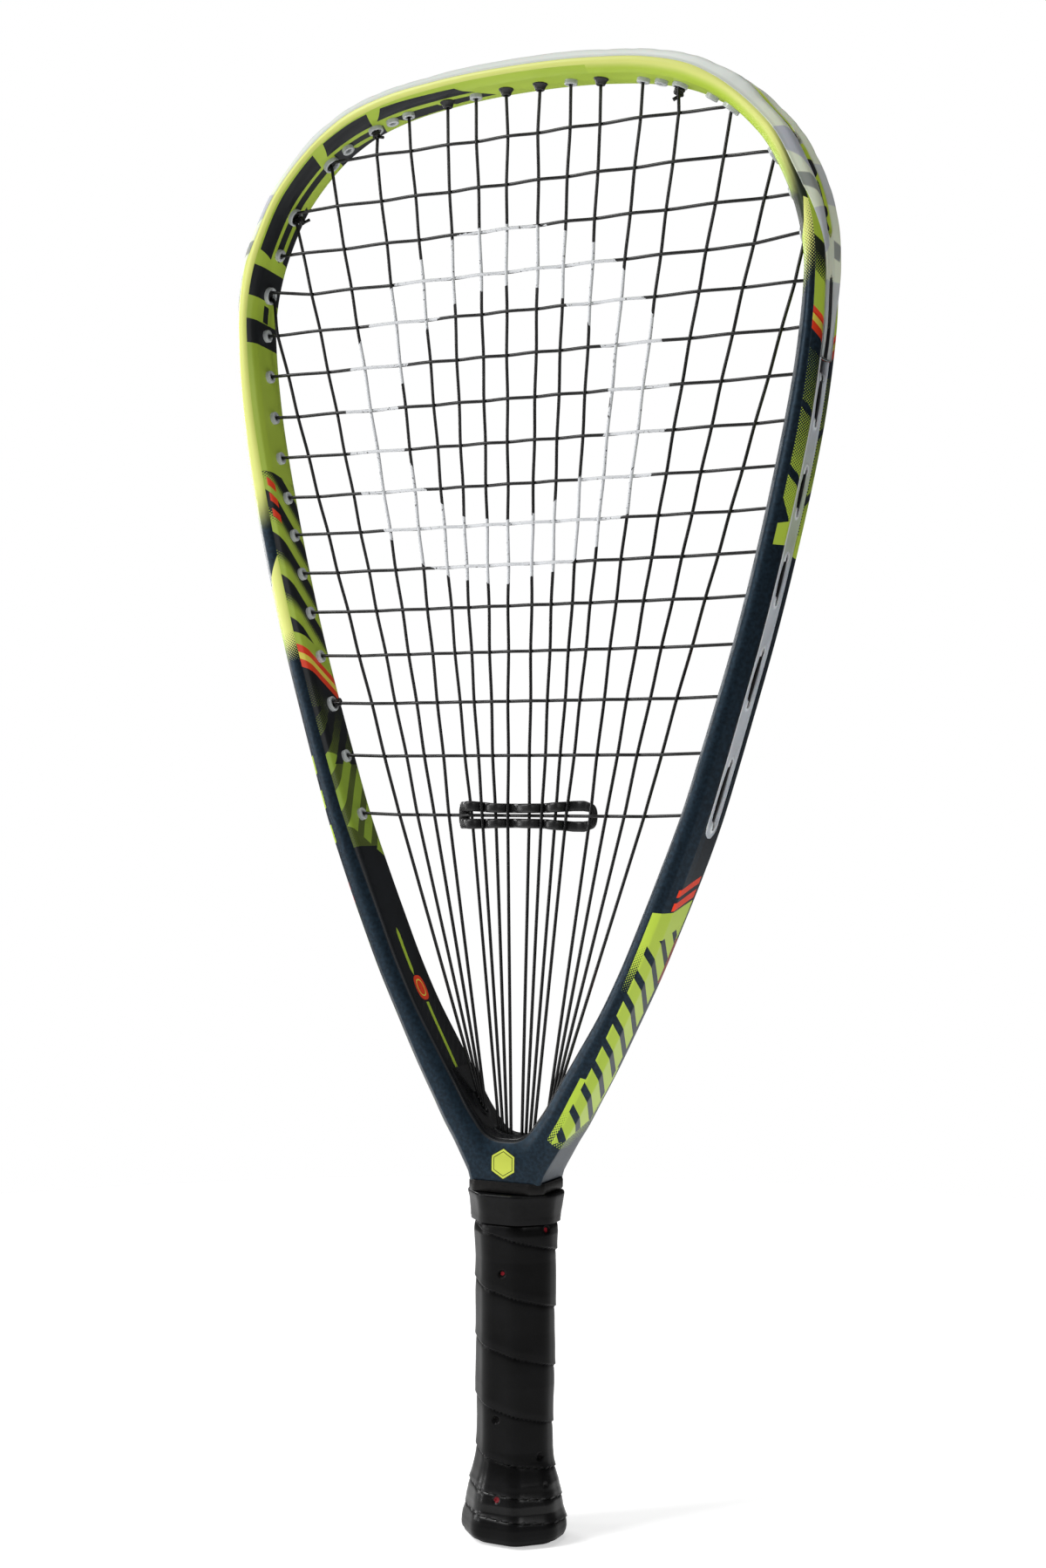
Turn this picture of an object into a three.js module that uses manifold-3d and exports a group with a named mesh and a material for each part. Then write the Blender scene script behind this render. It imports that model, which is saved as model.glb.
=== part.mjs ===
// Racquetball racket, 22 in (559 mm) long, teardrop head, 16 main and 16 cross strings.
// Millimetres, +Z up from the butt to the head, string bed in the plane y = 0,
// front face towards -Y, origin at the middle of the butt cap's bottom face.
import * as THREE from 'three';
import { mergeVertices } from 'three/addons/utils/BufferGeometryUtils.js';
import Module from 'manifold-3d';

const wasm = await Module();
wasm.setup();

// ---------------------------------------------------------------- driving dimensions
const TOTAL_LENGTH = 559;        // butt to the top of the bumper
const BEAM_HALF_DEPTH = 11.6;    // half of the beam's front-to-back depth at the hoop
const GROOVE_HALF = 6.3;         // half width of the outer groove for strips and bumper
const GROOVE_DEPTH = 1.6;
const WALL = 1.3;                // wall of the hollow beam
const STRIP_HALF = 6.0;          // half width of the grommet strips
const STRIP_PROUD = 0.6;         // strip's rise over the beam's outer face
const BUMPER_PROUD = 1.7;        // bumper's rise over the beam at the tip
const GAP = 0.3;                 // clearance between neighbouring pieces
const STRING_R = 0.63;           // string radius
const WEAVE = 0.78;              // distance of a string's axis from y = 0 at a crossing
const LANE = 1.5;                // distance between strings that share one hole
const HANDLE_HX = 14.7, HANDLE_HY = 12.5, HANDLE_C = 8.3;   // grip octagon: half sizes and chamfer
const GRIP_T = 2.0;              // grip wrap thickness
const GRIP_TOP = 120, GRIP_FOOT = 1.5;
const SHAFT_HX = 9.0, SHAFT_HY = 6.8;                       // hairpin shaft inside the handle
const COLLAR_Z0 = 117.5, COLLAR_Z1 = 130.6;
const SQUEEZE = 0.4;             // how much the collar presses the wrap in

// Inner wall of the hoop at y = 0, right half, from the tip to the throat:
// x, z, beam thickness in the string plane, fraction of the depth that stays flat on the inner wall.
const HOOP = [
  [0, 550.8, 6.5, 0.60], [10, 550.7, 6.5, 0.60], [20, 550.3, 6.6, 0.60], [32.5, 549.3, 6.8, 0.60],
  [50, 546.9, 7.4, 0.60], [64.7, 543.0, 7.9, 0.60], [75, 538.3, 8.3, 0.60], [85, 531.6, 9.0, 0.60],
  [95, 521.8, 9.3, 0.60], [102, 512.3, 9.6, 0.60], [109, 497.6, 9.5, 0.60], [113, 484.5, 8.8, 0.60],
  [114.8, 472, 8.1, 0.60], [114.6, 462, 8.2, 0.60], [113.4, 448.8, 8.8, 0.60], [111.2, 432.4, 9.2, 0.60],
  [108.2, 416, 9.7, 0.60], [104.9, 400.3, 9.9, 0.60], [101.3, 384, 9.9, 0.60], [97.5, 368.1, 9.9, 0.60],
  [93.3, 351.5, 9.9, 0.60], [88.7, 334.7, 9.9, 0.61], [83, 315.8, 10.0, 0.62], [76.6, 295.3, 10.2, 0.64],
  [69.3, 272.6, 10.3, 0.68], [60.2, 249.0, 10.4, 0.74], [53.7, 232.9, 10.3, 0.78], [46.6, 216.2, 10.2, 0.80],
  [38.4, 199.5, 10.3, 0.82],
];
// Throat: inner wall point, outer outline point, flat fraction, how square the outer edge is.
const THROAT = [
  [28.8, 183.2, 39.0, 177.6, 0.83, 0.0], [21, 170.2, 31.6, 164.0, 0.84, 0.0],
  [16.5, 162.5, 26.9, 155.6, 0.84, 0.1], [13, 157.5, 22.6, 149.0, 0.84, 0.2],
  [10.5, 154.2, 18.9, 142.6, 0.84, 0.4], [8.2, 152, 16.3, 137.2, 0.84, 0.5],
  [5.2, 150.5, 14.8, 131.5, 0.84, 0.6], [2.6, 150.05, 7.4, 131.0, 0.84, 0.6],
  [0, 150.0, 0, 131.0, 0.84, 0.6],
];
// Heights of the sixteen cross strings, tip to throat.
const CROSS_Z = [532.4, 514.2, 497.0, 480.4, 465.2, 448.5, 431.7, 415.2, 399.0, 383.8, 368.2, 352.4, 334.9, 315.9, 295.2, 272.3];
// Distance of the main strings from the centre line at each cross string, outermost pair first.
const MAIN_X = [
  [null, null, 85.8, 64.1, 48.7, 32.3, 19.8, 6.5], [null, 102.5, 81.8, 61.7, 46.3, 31.4, 18.8, 6.7],
  [null, 97.6, 78.6, 59.3, 44.8, 30.3, 18.3, 6.5], [null, 93.5, 75.1, 57.0, 42.7, 29.5, 17.5, 6.6],
  [109.3, 89.5, 72.2, 54.9, 41.3, 28.6, 17.0, 6.4], [104.0, 85.5, 68.9, 52.7, 39.4, 27.8, 16.3, 6.3],
  [99.4, 81.4, 66.0, 50.3, 37.8, 26.6, 15.9, 5.8], [94.5, 77.5, 62.7, 48.2, 36.0, 25.7, 15.2, 5.7],
  [89.8, 73.5, 59.8, 45.9, 34.4, 24.7, 14.8, 5.3], [85.0, 70.0, 56.8, 44.0, 32.6, 24.0, 14.2, 5.3],
  [80.3, 66.2, 54.0, 41.9, 31.2, 23.0, 13.9, 5.0], [75.4, 62.7, 51.0, 39.9, 29.3, 22.1, 13.2, 5.0],
  [70.4, 58.4, 48.1, 37.5, 27.8, 20.5, 12.8, 4.6], [64.5, 54.0, 44.4, 35.4, 25.3, 19.2, 11.7, 4.9],
  [58.6, 48.5, 41.0, 32.4, 23.2, 17.1, 11.2, 4.5], [51.8, 43.7, 36.3, 29.8, 20.0, 15.5, 9.8, 4.4],
];
// Where the main strings go through the throat bridge: x, z on the inner wall and direction, outermost pair first.
const FOOT = [[17.2, 163.7], [16.2, 162.1], [15.2, 160.5], [14.2, 159.0], [7.4, 151.5], [5.7, 150.6], [4.0, 150.2], [2.3, 150.0]];

// ---------------------------------------------------------------- solids
function toSolid(geometry) {
  const g = geometry.clone();
  for (const k of Object.keys(g.attributes)) if (k !== 'position') g.deleteAttribute(k);
  const m = mergeVertices(g, 1e-4);
  return new wasm.Manifold(new wasm.Mesh({ numProp: 3, vertProperties: new Float32Array(m.attributes.position.array), triVerts: new Uint32Array(m.index.array) }));
}
function toGeometry(solid) {
  const m = solid.getMesh();
  const g = new THREE.BufferGeometry();
  const pos = new Float32Array(m.numVert * 3);
  for (let i = 0; i < m.numVert; i++) for (let k = 0; k < 3; k++) pos[i * 3 + k] = m.vertProperties[i * m.numProp + k];
  g.setAttribute('position', new THREE.BufferAttribute(pos, 3));
  g.setIndex(new THREE.BufferAttribute(new Uint32Array(m.triVerts), 1));
  return g;
}
function signedVolume(pos, idx) {
  let v = 0;
  for (let i = 0; i < idx.length; i += 3) {
    const a = pos[idx[i]], b = pos[idx[i + 1]], c = pos[idx[i + 2]];
    v += a[0] * (b[1] * c[2] - b[2] * c[1]) - a[1] * (b[0] * c[2] - b[2] * c[0]) + a[2] * (b[0] * c[1] - b[1] * c[0]);
  }
  return v / 6;
}
// Skin through rings of equal count. closed joins the last ring to the first; otherwise both ends get caps.
function skin(rings, closed = false) {
  const n = rings[0].length, pos = [].concat(...rings), idx = [];
  const last = closed ? rings.length : rings.length - 1;
  for (let r = 0; r < last; r++) {
    const a = r * n, b = ((r + 1) % rings.length) * n;
    for (let k = 0; k < n; k++) {
      const k2 = (k + 1) % n;
      idx.push(a + k, a + k2, b + k2, a + k, b + k2, b + k);
    }
  }
  if (!closed) {
    for (const [ring, base, flip] of [[rings[0], 0, true], [rings[rings.length - 1], (rings.length - 1) * n, false]]) {
      const o = new THREE.Vector3(...ring[0]), normal = new THREE.Vector3();
      for (let k = 0; k < n; k++) {
        const p = new THREE.Vector3(...ring[k]), q = new THREE.Vector3(...ring[(k + 1) % n]);
        normal.add(new THREE.Vector3().crossVectors(p.sub(o), q.clone().sub(o)));
      }
      normal.normalize();
      const ax = Math.abs(normal.x) > 0.9 ? new THREE.Vector3(0, 1, 0) : new THREE.Vector3(1, 0, 0);
      const e1 = new THREE.Vector3().crossVectors(normal, ax).normalize(), e2 = new THREE.Vector3().crossVectors(normal, e1);
      const flat = ring.map(p => { const q = new THREE.Vector3(...p); return new THREE.Vector2(q.dot(e1), q.dot(e2)); });
      const area = THREE.ShapeUtils.area(flat);
      for (const t of THREE.ShapeUtils.triangulateShape(flat, [])) {
        // winding that follows the ring order, turned round at the first ring
        const [i, j, k] = flip === area > 0 ? [t[0], t[2], t[1]] : t;
        idx.push(base + i, base + j, base + k);
      }
    }
  }
  if (signedVolume(pos, idx) < 0) for (let i = 0; i < idx.length; i += 3) [idx[i + 1], idx[i + 2]] = [idx[i + 2], idx[i + 1]];
  const g = new THREE.BufferGeometry();
  g.setAttribute('position', new THREE.Float32BufferAttribute(pos.flat(), 3));
  g.setIndex(idx);
  return g;
}
const solidSkin = (rings, closed) => toSolid(skin(rings, closed));
function box(x0, x1, y0, y1, z0, z1) {
  const g = new THREE.BoxGeometry(x1 - x0, y1 - y0, z1 - z0);
  g.translate((x0 + x1) / 2, (y0 + y1) / 2, (z0 + z1) / 2);
  return toSolid(g);
}
function union(list) {
  let s = list[0];
  for (let i = 1; i < list.length; i++) s = s.add(list[i]);
  return s;
}

// ---------------------------------------------------------------- the wall curve
const catmull = (a, b, c, d, t) => 0.5 * (2 * b + (-a + c) * t + (2 * a - 5 * b + 4 * c - d) * t * t + (-a + 3 * b - 3 * c + d) * t * t * t);
// Dense table of the hoop's inner wall on the right half, with arc length s, outward normal and thickness.
const wall = (() => {
  const P = [[-HOOP[1][0], HOOP[1][1], HOOP[1][2], HOOP[1][3]], ...HOOP, [28.8, 183.2, 11.6, 0.83]];
  const out = [];
  for (let i = 1; i < P.length - 2; i++) {
    for (let k = 0; k < 8; k++) {
      const t = k / 8;
      out.push([0, 1, 2, 3].map(j => catmull(P[i - 1][j], P[i][j], P[i + 1][j], P[i + 2][j], t)));
    }
  }
  out.push(HOOP[HOOP.length - 1].slice());
  let s = 0;
  const table = out.map((p, i) => {
    if (i) s += Math.hypot(p[0] - out[i - 1][0], p[1] - out[i - 1][1]);
    const a = out[Math.max(0, i - 1)], b = out[Math.min(out.length - 1, i + 1)];
    let tx = b[0] - a[0], tz = b[1] - a[1];
    if (i === 0) { tx = 1; tz = 0; }
    const l = Math.hypot(tx, tz);
    return { s, x: p[0], z: p[1], t: p[2], f: p[3], nx: -tz / l, nz: tx / l };
  });
  return table;
})();
function wallAt(s) {
  // negative s runs on the left half
  const side = s < 0 ? -1 : 1, a = Math.abs(s);
  let i = 1;
  while (i < wall.length - 1 && wall[i].s < a) i++;
  const p = wall[i - 1], q = wall[i], k = Math.min(1, Math.max(0, (a - p.s) / (q.s - p.s)));
  const m = {};
  for (const key of ['x', 'z', 't', 'f', 'nx', 'nz']) m[key] = p[key] + (q[key] - p[key]) * k;
  const l = Math.hypot(m.nx, m.nz);
  m.nx /= l; m.nz /= l; m.x *= side; m.nx *= side; m.s = s;
  return m;
}
function wallNear(x, z) {
  let best = null, d = 1e9;
  for (let i = 1; i < wall.length; i++) {
    const p = wall[i - 1], q = wall[i], ux = q.x - p.x, uz = q.z - p.z;
    const k = Math.min(1, Math.max(0, ((Math.abs(x) - p.x) * ux + (z - p.z) * uz) / (ux * ux + uz * uz)));
    const e = Math.hypot(p.x + ux * k - Math.abs(x), p.z + uz * k - z);
    if (e < d) { d = e; best = p.s + (q.s - p.s) * k; }
  }
  return x < 0 ? -best : best;
}
const at = (w, u, y) => [w.x + w.nx * u, y, w.z + w.nz * u];
const S_END = wall[wall.length - 1].s;

// ---------------------------------------------------------------- frame
// Outer section of the beam in (u across the beam from the inner wall, v through its depth).
function beamRing(T, f, k) {
  const B = BEAM_HALF_DEPTH;
  const half = [
    [0, f * B], [Math.min(2.0, T * 0.22), Math.max(0.92, f + 0.12) * B], [T * 0.5, B], [T - Math.min(2.8, T * 0.3), (0.966 + 0.03 * k) * B], [T, (0.69 + 0.27 * k) * B],
  ];
  return [...half.map(([u, v]) => [u, -v]), ...half.slice().reverse()];
}
function cavityRing(T, k) {
  const B = BEAM_HALF_DEPTH, a = WALL + 1.9 * k, b = T - GROOVE_DEPTH - WALL + 0.2, w = b - a;
  const half = [[a, 0.46 * B], [a + 0.5 * w, 0.87 * B], [b, 0.5 * B]];
  return [...half.map(([u, v]) => [u, -v]), ...half.slice().reverse()];
}
const S_STRIP_END = wallNear(67.8, 268.0);  // lower end of the strips
const S_JOINT = wallNear(111.9, 437.5);     // where the bumper meets a strip
// Stations shared by beam, groove, bumper and strips, closer together round the shoulders.
const KNOTS = (() => {
  const list = [0];
  const run = (s1, step) => {
    let s = list[list.length - 1];
    while (s + step(s) * 1.4 < s1) { s += step(s); list.push(s); }
    list.push(s1);
  };
  run(S_JOINT, s => (s < 30 ? 16 : s < 145 ? 11.5 : 17));
  run(S_STRIP_END, () => 20);
  return list;
})();
const knotsBetween = (s0, s1) => {
  const lo = Math.min(s0, s1), hi = Math.max(s0, s1), all = [...KNOTS.slice(1).map(s => -s), ...KNOTS].sort((p, q) => p - q);
  const list = [lo, ...all.filter(s => s > lo + 2 && s < hi - 2), hi];
  return s0 < s1 ? list : list.reverse();
};
const stations = (() => {
  const right = KNOTS.map(s => ({ ...wallAt(s), k: 0 }));
  for (const [x, z] of HOOP) if (z < 262) right.push({ ...wallAt(wallNear(x, z)), k: 0 });
  const low = THROAT.map(([x, z, ox, oz, f, k]) => {
    const l = Math.hypot(ox - x, oz - z);
    return { x, z, nx: (ox - x) / l, nz: (oz - z) / l, t: l, f, k };
  });
  const all = [...right, ...low];
  const left = all.slice(1, -1).reverse().map(w => ({ ...w, x: -w.x, nx: -w.nx }));
  return [...all, ...left];
})();
const hoopOuter = solidSkin(stations.map(w => beamRing(w.t, w.f, w.k).map(([u, v]) => at(w, u, v))), true);
const hoopCavity = solidSkin(stations.map(w => {
  const low = w.z < 175 ? 1 : w.z < 200 ? 0.4 : 0;
  return cavityRing(w.t, low).map(([u, v]) => at(w, u, v));
}), true);
// Rounded rectangle ring with chamfers, level z.
function octRing(hx, hy, c, z) {
  const cx = Math.min(c, hx * 0.9), cy = Math.min(c, hy * 0.9);
  return [[-hx, -hy + cy, z], [-hx + cx, -hy, z], [hx - cx, -hy, z], [hx, -hy + cy, z], [hx, hy - cy, z], [hx - cx, hy, z], [-hx + cx, hy, z], [-hx, hy - cy, z]];
}
const shaftOuter = solidSkin([
  octRing(SHAFT_HX, SHAFT_HY, 2.2, 12), octRing(SHAFT_HX, SHAFT_HY, 2.2, 123), octRing(12.2, 9.2, 5.2, 127.5),
  octRing(13.5, 10.4, 6.2, 130.7), octRing(14.3, 10.8, 4.4, 132), octRing(14.2, 10.6, 3.4, 138),
]);
const shaftCavity = solidSkin([octRing(SHAFT_HX - 1.5, SHAFT_HY - 1.5, 1.4, 10), octRing(SHAFT_HX - 1.5, SHAFT_HY - 1.5, 1.4, 124), octRing(10.4, 7.6, 2, 131), octRing(10.4, 7.4, 2, 138)]);
// Groove round the outside for the bumper and the strips.
const bandStations = (s0, s1) => knotsBetween(s0, s1).map(wallAt);
const grooveTool = solidSkin(bandStations(-S_STRIP_END - 0.6, S_STRIP_END + 0.6).map(w =>
  [[w.t - GROOVE_DEPTH, -GROOVE_HALF], [w.t + 3, -GROOVE_HALF], [w.t + 3, GROOVE_HALF], [w.t - GROOVE_DEPTH, GROOVE_HALF]].map(([u, v]) => at(w, u, v))));

// ---------------------------------------------------------------- string holes
const H = {};
function hole(name, x, z, kind) {
  for (const side of [-1, 1]) {
    const key = (side < 0 ? 'L' : 'R') + name, s = wallNear(side * x, z);
    H[key] = { key, s, w: wallAt(s), kind };
  }
}
hole('T8', 7.2, 550.8, 'power'); hole('T7', 20.2, 550.3, 'one'); hole('T6', 32.6, 549.3, 'power'); hole('T5', 49.9, 547, 'one');
hole('E2', 57.1, 545.2, 'one'); hole('T4', 64.7, 543, 'two'); hole('E1', 77.6, 537, 'one');
hole('T3', 85, 531.6, 'three'); hole('T2', 102, 512.3, 'three'); hole('C3', 109, 497.6, 'one'); hole('T1', 113.4, 481.5, 'three');
for (let j = 5; j <= 16; j++) {
  const z = CROSS_Z[j - 1];
  let best = null, d = 1e9;
  for (const p of wall) if (Math.abs(p.z - z) < d && p.x > 30) { d = Math.abs(p.z - z); best = p; }
  hole('C' + j, best.x, z, 'one');
}
H.LC14.kind = 'two';
const RAD = { one: [1.15, 2.2, 2.65], power: [1.15, 2.2, 2.65], two: [1.95, 2.75, 3.15], three: [2.55, 3.35, 3.75] };  // bore, barrel, hole in the beam
function rod(w, u0, u1, r0, r1 = r0, sides = 8, y = 0) {
  // prism along the wall's normal
  const ring = (u, r) => {
    const out = [];
    for (let i = 0; i < sides; i++) {
      const a = (i + 0.5) / sides * Math.PI * 2, c = Math.cos(a) * r, d = Math.sin(a) * r;
      // in-plane tangent is (-nz, nx)
      out.push([w.x + w.nx * u - w.nz * c, y + d, w.z + w.nz * u + w.nx * c]);
    }
    return out;
  };
  return solidSkin([ring(u0, r0), ring(u1, r1)]);
}
let frame = hoopOuter.add(shaftOuter).subtract(grooveTool);
frame = frame.subtract(hoopCavity.add(shaftCavity));
frame = frame.subtract(union(Object.values(H).map(h => rod(h.w, -1.5, h.w.t + 2, RAD[h.kind][2], RAD[h.kind][2], 6))));

// ---------------------------------------------------------------- throat bridge
// It lines the bottom of the V; stations follow the throat's inner wall.
const vee = (() => {
  const right = THROAT.filter(t => t[1] < 172).map(([x, z]) => [x, z]);
  right.unshift([24.2, 175.6]);
  const pts = [...right.map(([x, z]) => [-x, z]), ...right.slice(0, -1).reverse().map(([x, z]) => [x, z])];
  return pts.map((p, i) => {
    const a = pts[Math.max(0, i - 1)], b = pts[Math.min(pts.length - 1, i + 1)];
    const l = Math.hypot(b[0] - a[0], b[1] - a[1]);
    return { x: p[0], z: p[1], nx: (b[1] - a[1]) / l, nz: -(b[0] - a[0]) / l };
  });
})();
const slabRing = (w, u0, u1, hv) => [[u0, -hv], [u1, -hv], [u1, hv], [u0, hv]].map(([u, v]) => at(w, u, v));
const veeExt = (d) => {
  const a = vee[0], b = vee[vee.length - 1];
  const ext = w => ({ ...w, x: w.x + (w.x < 0 ? -1 : 1) * Math.abs(w.nz) * d, z: w.z + Math.abs(w.nx) * d });
  return [ext(a), ...vee.slice(1, -1), ext(b)];
};
const bridgePocket = solidSkin(veeExt(0.35).map(w => slabRing(w, -3, 1.6, 8.7)));
const footSlots = (grow, u0, u1) => {
  const list = [];
  for (const side of [-1, 1]) {
    // the four inner strings of each side drop straight down
    list.push(box(Math.min(side * 1.3, side * 8.4) - grow, Math.max(side * 1.3, side * 8.4) + grow, -1.1 - grow, 1.1 + grow, 150 - u1, 150 - u0 + 3));
    // the four outer strings go through the sloping part
    const a = vee.find(w => Math.abs(w.x - side * 16.5) < 0.01);
    const n = { nx: side * 0.84, nz: -0.54 };
    const tangent = [side * 0.54, 0.84];
    const c = [side * 15.7, 161.35];
    const p = (u, t, v) => [c[0] + n.nx * u + tangent[0] * t, v, c[1] + n.nz * u + tangent[1] * t];
    const ring = u => [p(u, -3.8 - grow, -1.1 - grow), p(u, 3.8 + grow, -1.1 - grow), p(u, 3.8 + grow, 1.1 + grow), p(u, -3.8 - grow, 1.1 + grow)];
    list.push(solidSkin([ring(u0), ring(u1)]));
  }
  return union(list);
};
frame = frame.subtract(bridgePocket).subtract(footSlots(0.6, -2, 4.6));
const bridge = solidSkin(vee.map(w => slabRing(w, -0.7, 1.3, 8.4))).subtract(footSlots(0, -4, 5));

// ---------------------------------------------------------------- strings
function stringTube(points, r, sides = 4, r2 = r) {
  const P = points.map(p => new THREE.Vector3(...p));
  const dirs = [];
  for (let i = 0; i < P.length - 1; i++) dirs.push(P[i + 1].clone().sub(P[i]).normalize());
  let e1 = new THREE.Vector3(0, 1, 0).cross(dirs[0]);
  if (e1.length() < 0.1) e1 = new THREE.Vector3(1, 0, 0).cross(dirs[0]);
  e1.normalize();
  const e2 = dirs[0].clone().cross(e1);
  let ring = [];
  for (let k = 0; k < sides; k++) {
    const a = (k + 0.5) / sides * Math.PI * 2;
    ring.push(P[0].clone().addScaledVector(e1, Math.cos(a) * r).addScaledVector(e2, Math.sin(a) * r2));
  }
  const rings = [ring.map(v => v.toArray())];
  for (let i = 1; i < P.length; i++) {
    const d = dirs[i - 1], n = i < dirs.length ? d.clone().add(dirs[i]).normalize() : d;
    ring = ring.map(v => v.clone().addScaledVector(d, P[i].clone().sub(v).dot(n) / d.dot(n)));
    rings.push(ring.map(v => v.toArray()));
  }
  return skin(rings);
}
const OUT_U = w => w.t - 0.08;                 // axis of a string that lies in the outer groove
const pockets = [];                            // channels for those strings in strips and bumper
function outerRun(a, ya, b, yb, overs = [], channel = true) {
  // from hole a to hole b round the outside, y moving from ya to yb, through the lanes given in overs
  const keys = [[H[a].s, ya], ...overs.map(([k, y]) => [H[k].s, y]), [H[b].s, yb]];
  const pts = [];
  for (let i = 0; i < keys.length - 1; i++) {
    const [s0, y0] = keys[i], [s1, y1] = keys[i + 1];
    knotsBetween(s0, s1).forEach((t, k) => { if (i === 0 || k > 0) pts.push({ w: wallAt(t), y: y0 + (y1 - y0) * (t - s0) / (s1 - s0) }); });
  }
  if (channel) pockets.push({ pts, half: 0.98 });
  return pts.map(p => at(p.w, OUT_U(p.w), p.y));
}
const inner = (h, y, u = -1.6) => at(H[h].w, u, y);
const mainX = (i, j) => { const p = i <= 8 ? i - 1 : 16 - i, v = MAIN_X[j - 1][p]; return v === null ? null : (i <= 8 ? -v : v); };
const over = (i, j) => (i + j) % 2 === 0;      // main string in front of the cross string
const firstCross = i => [5, 3, 2, 1, 1, 1, 1, 1][i <= 8 ? i - 1 : 16 - i];
const topHole = i => (i <= 8 ? 'LT' : 'RT') + (i <= 8 ? i : 17 - i);
const topLane = { 1: LANE, 2: 0, 3: 0, 4: 0.85, 5: 0, 6: 0, 7: 0, 8: 0, 9: 0, 10: 0, 11: 0, 12: 0, 13: -0.85, 14: 0, 15: 0, 16: LANE };
function footPoints(i) {
  const p = i <= 8 ? i - 1 : 16 - i, side = i <= 8 ? -1 : 1, [x, z] = FOOT[p];
  if (p < 4) { const n = [side * 0.84, -0.54]; return [[side * x - n[0] * 1.3, 0, z - n[1] * 1.3], [side * x + n[0] * 3.9, 0, z + n[1] * 3.9]]; }
  return [[side * x, 0, z + 1.3], [side * x, 0, 146.0]];
}
function mainDown(i) {
  const pts = [inner(topHole(i), topLane[i])];
  for (let j = firstCross(i); j <= 16; j++) pts.push([mainX(i, j), over(i, j) ? -WEAVE : WEAVE, CROSS_Z[j - 1]]);
  pts.push(...footPoints(i));
  return pts;
}
const up = i => mainDown(i).reverse();
// main string: one length, tied off at the second main on the left and the thirteenth on the right
const mainPath = [inner('LT2', LANE, -4.2), inner('LT2', LANE, 0)];
mainPath.push(...outerRun('LT2', LANE, 'LT1', LANE, [['LC3', LANE]], false));
for (let i = 1; i <= 16; i += 2) {
  mainPath.push(...mainDown(i), ...up(i + 1));
  if (i < 15) mainPath.push(...outerRun(topHole(i + 1), topLane[i + 1], topHole(i + 2), topLane[i + 2], [], i !== 1 && i !== 13));
}
mainPath.push(...outerRun('RT1', LANE, 'RT4', 0.85, [['RC3', LANE], ['RT2', LANE], ['RT3', LANE], ['RE1', LANE]], false));
mainPath.push(inner('RT4', 0.85, 0), inner('RT4', 0.85, -4.2));
// cross string
const crossHole = (j, side) => side + (j === 1 ? 'T3' : j === 2 ? 'T2' : j === 4 ? 'T1' : 'C' + j);
const crossLane = (j, side) => (j === 1 || j === 2 || j === 4) ? -LANE : (j === 14 && side === 'L') ? -0.85 : 0;
function crossRow(j, leftToRight) {
  const pts = [inner(crossHole(j, 'L'), crossLane(j, 'L'))];
  for (let i = 1; i <= 16; i++) if (j >= firstCross(i)) pts.push([mainX(i, j), over(i, j) ? WEAVE : -WEAVE, CROSS_Z[j - 1]]);
  pts.push(inner(crossHole(j, 'R'), crossLane(j, 'R')));
  return leftToRight ? pts : pts.reverse();
}
const crossPath = [inner('LT4', -0.85, -4.2), inner('LT4', -0.85, 0), ...outerRun('LT4', -0.85, 'LT3', -LANE, [['LE1', -LANE]], false)];
for (let j = 1; j <= 16; j++) {
  const ltr = j % 2 === 1;
  crossPath.push(...crossRow(j, ltr));
  const side = ltr ? 'R' : 'L';
  if (j < 16) crossPath.push(...outerRun(crossHole(j, side), crossLane(j, side), crossHole(j + 1, side), crossLane(j + 1, side), [], j > 3 && !(side === 'L' && j === 14)));
}
crossPath.push(...outerRun('LC16', 0, 'LC14', 0.85, [['LC15', LANE]], false), inner('LC14', 0.85, 0), inner('LC14', 0.85, -4.2));
const mainString = toSolid(stringTube(mainPath, STRING_R));
const crossString = toSolid(stringTube(crossPath, STRING_R));

// ---------------------------------------------------------------- strips and bumper
// Wide channels where two or three strings lie side by side.
for (const [a, b] of [['LT4', 'LT1'], ['RT4', 'RT1'], ['LC16', 'LC14']]) {
  pockets.push({ half: 2.55, pts: knotsBetween(H[a].s, H[b].s).map(s => ({ w: wallAt(s), y: 0 })) });
}
const pocketTool = union(pockets.map(({ pts, half }) => {
  const along = (p, q, d) => { const l = Math.hypot(q.w.x - p.w.x, q.w.z - p.w.z); return { w: { ...p.w, x: p.w.x - (q.w.x - p.w.x) / l * d, z: p.w.z - (q.w.z - p.w.z) / l * d }, y: p.y }; };
  const ext = [along(pts[0], pts[1], half), ...pts.slice(1, -1), along(pts[pts.length - 1], pts[pts.length - 2], half)];
  return solidSkin(ext.map(({ w, y }) => [[w.t - 0.8, y - half], [w.t + 3.5, y - half], [w.t + 3.5, y + half], [w.t - 0.8, y + half]].map(([u, v]) => at(w, u, v))));
}));
function barrels(keys) {
  const add = [], cut = [];
  for (const k of keys) {
    const h = H[k], [rh, rb] = RAD[h.kind], sides = 6;
    if (h.kind !== 'power') add.push(rod(h.w, -1.0, h.w.t - 1.0, rb, rb, sides));
    cut.push(rod(h.w, -2, h.w.t + 4, rh, rh, sides));
  }
  return { add, cut: union(cut) };
}
const JOINT_GAP = 0.25;
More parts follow.
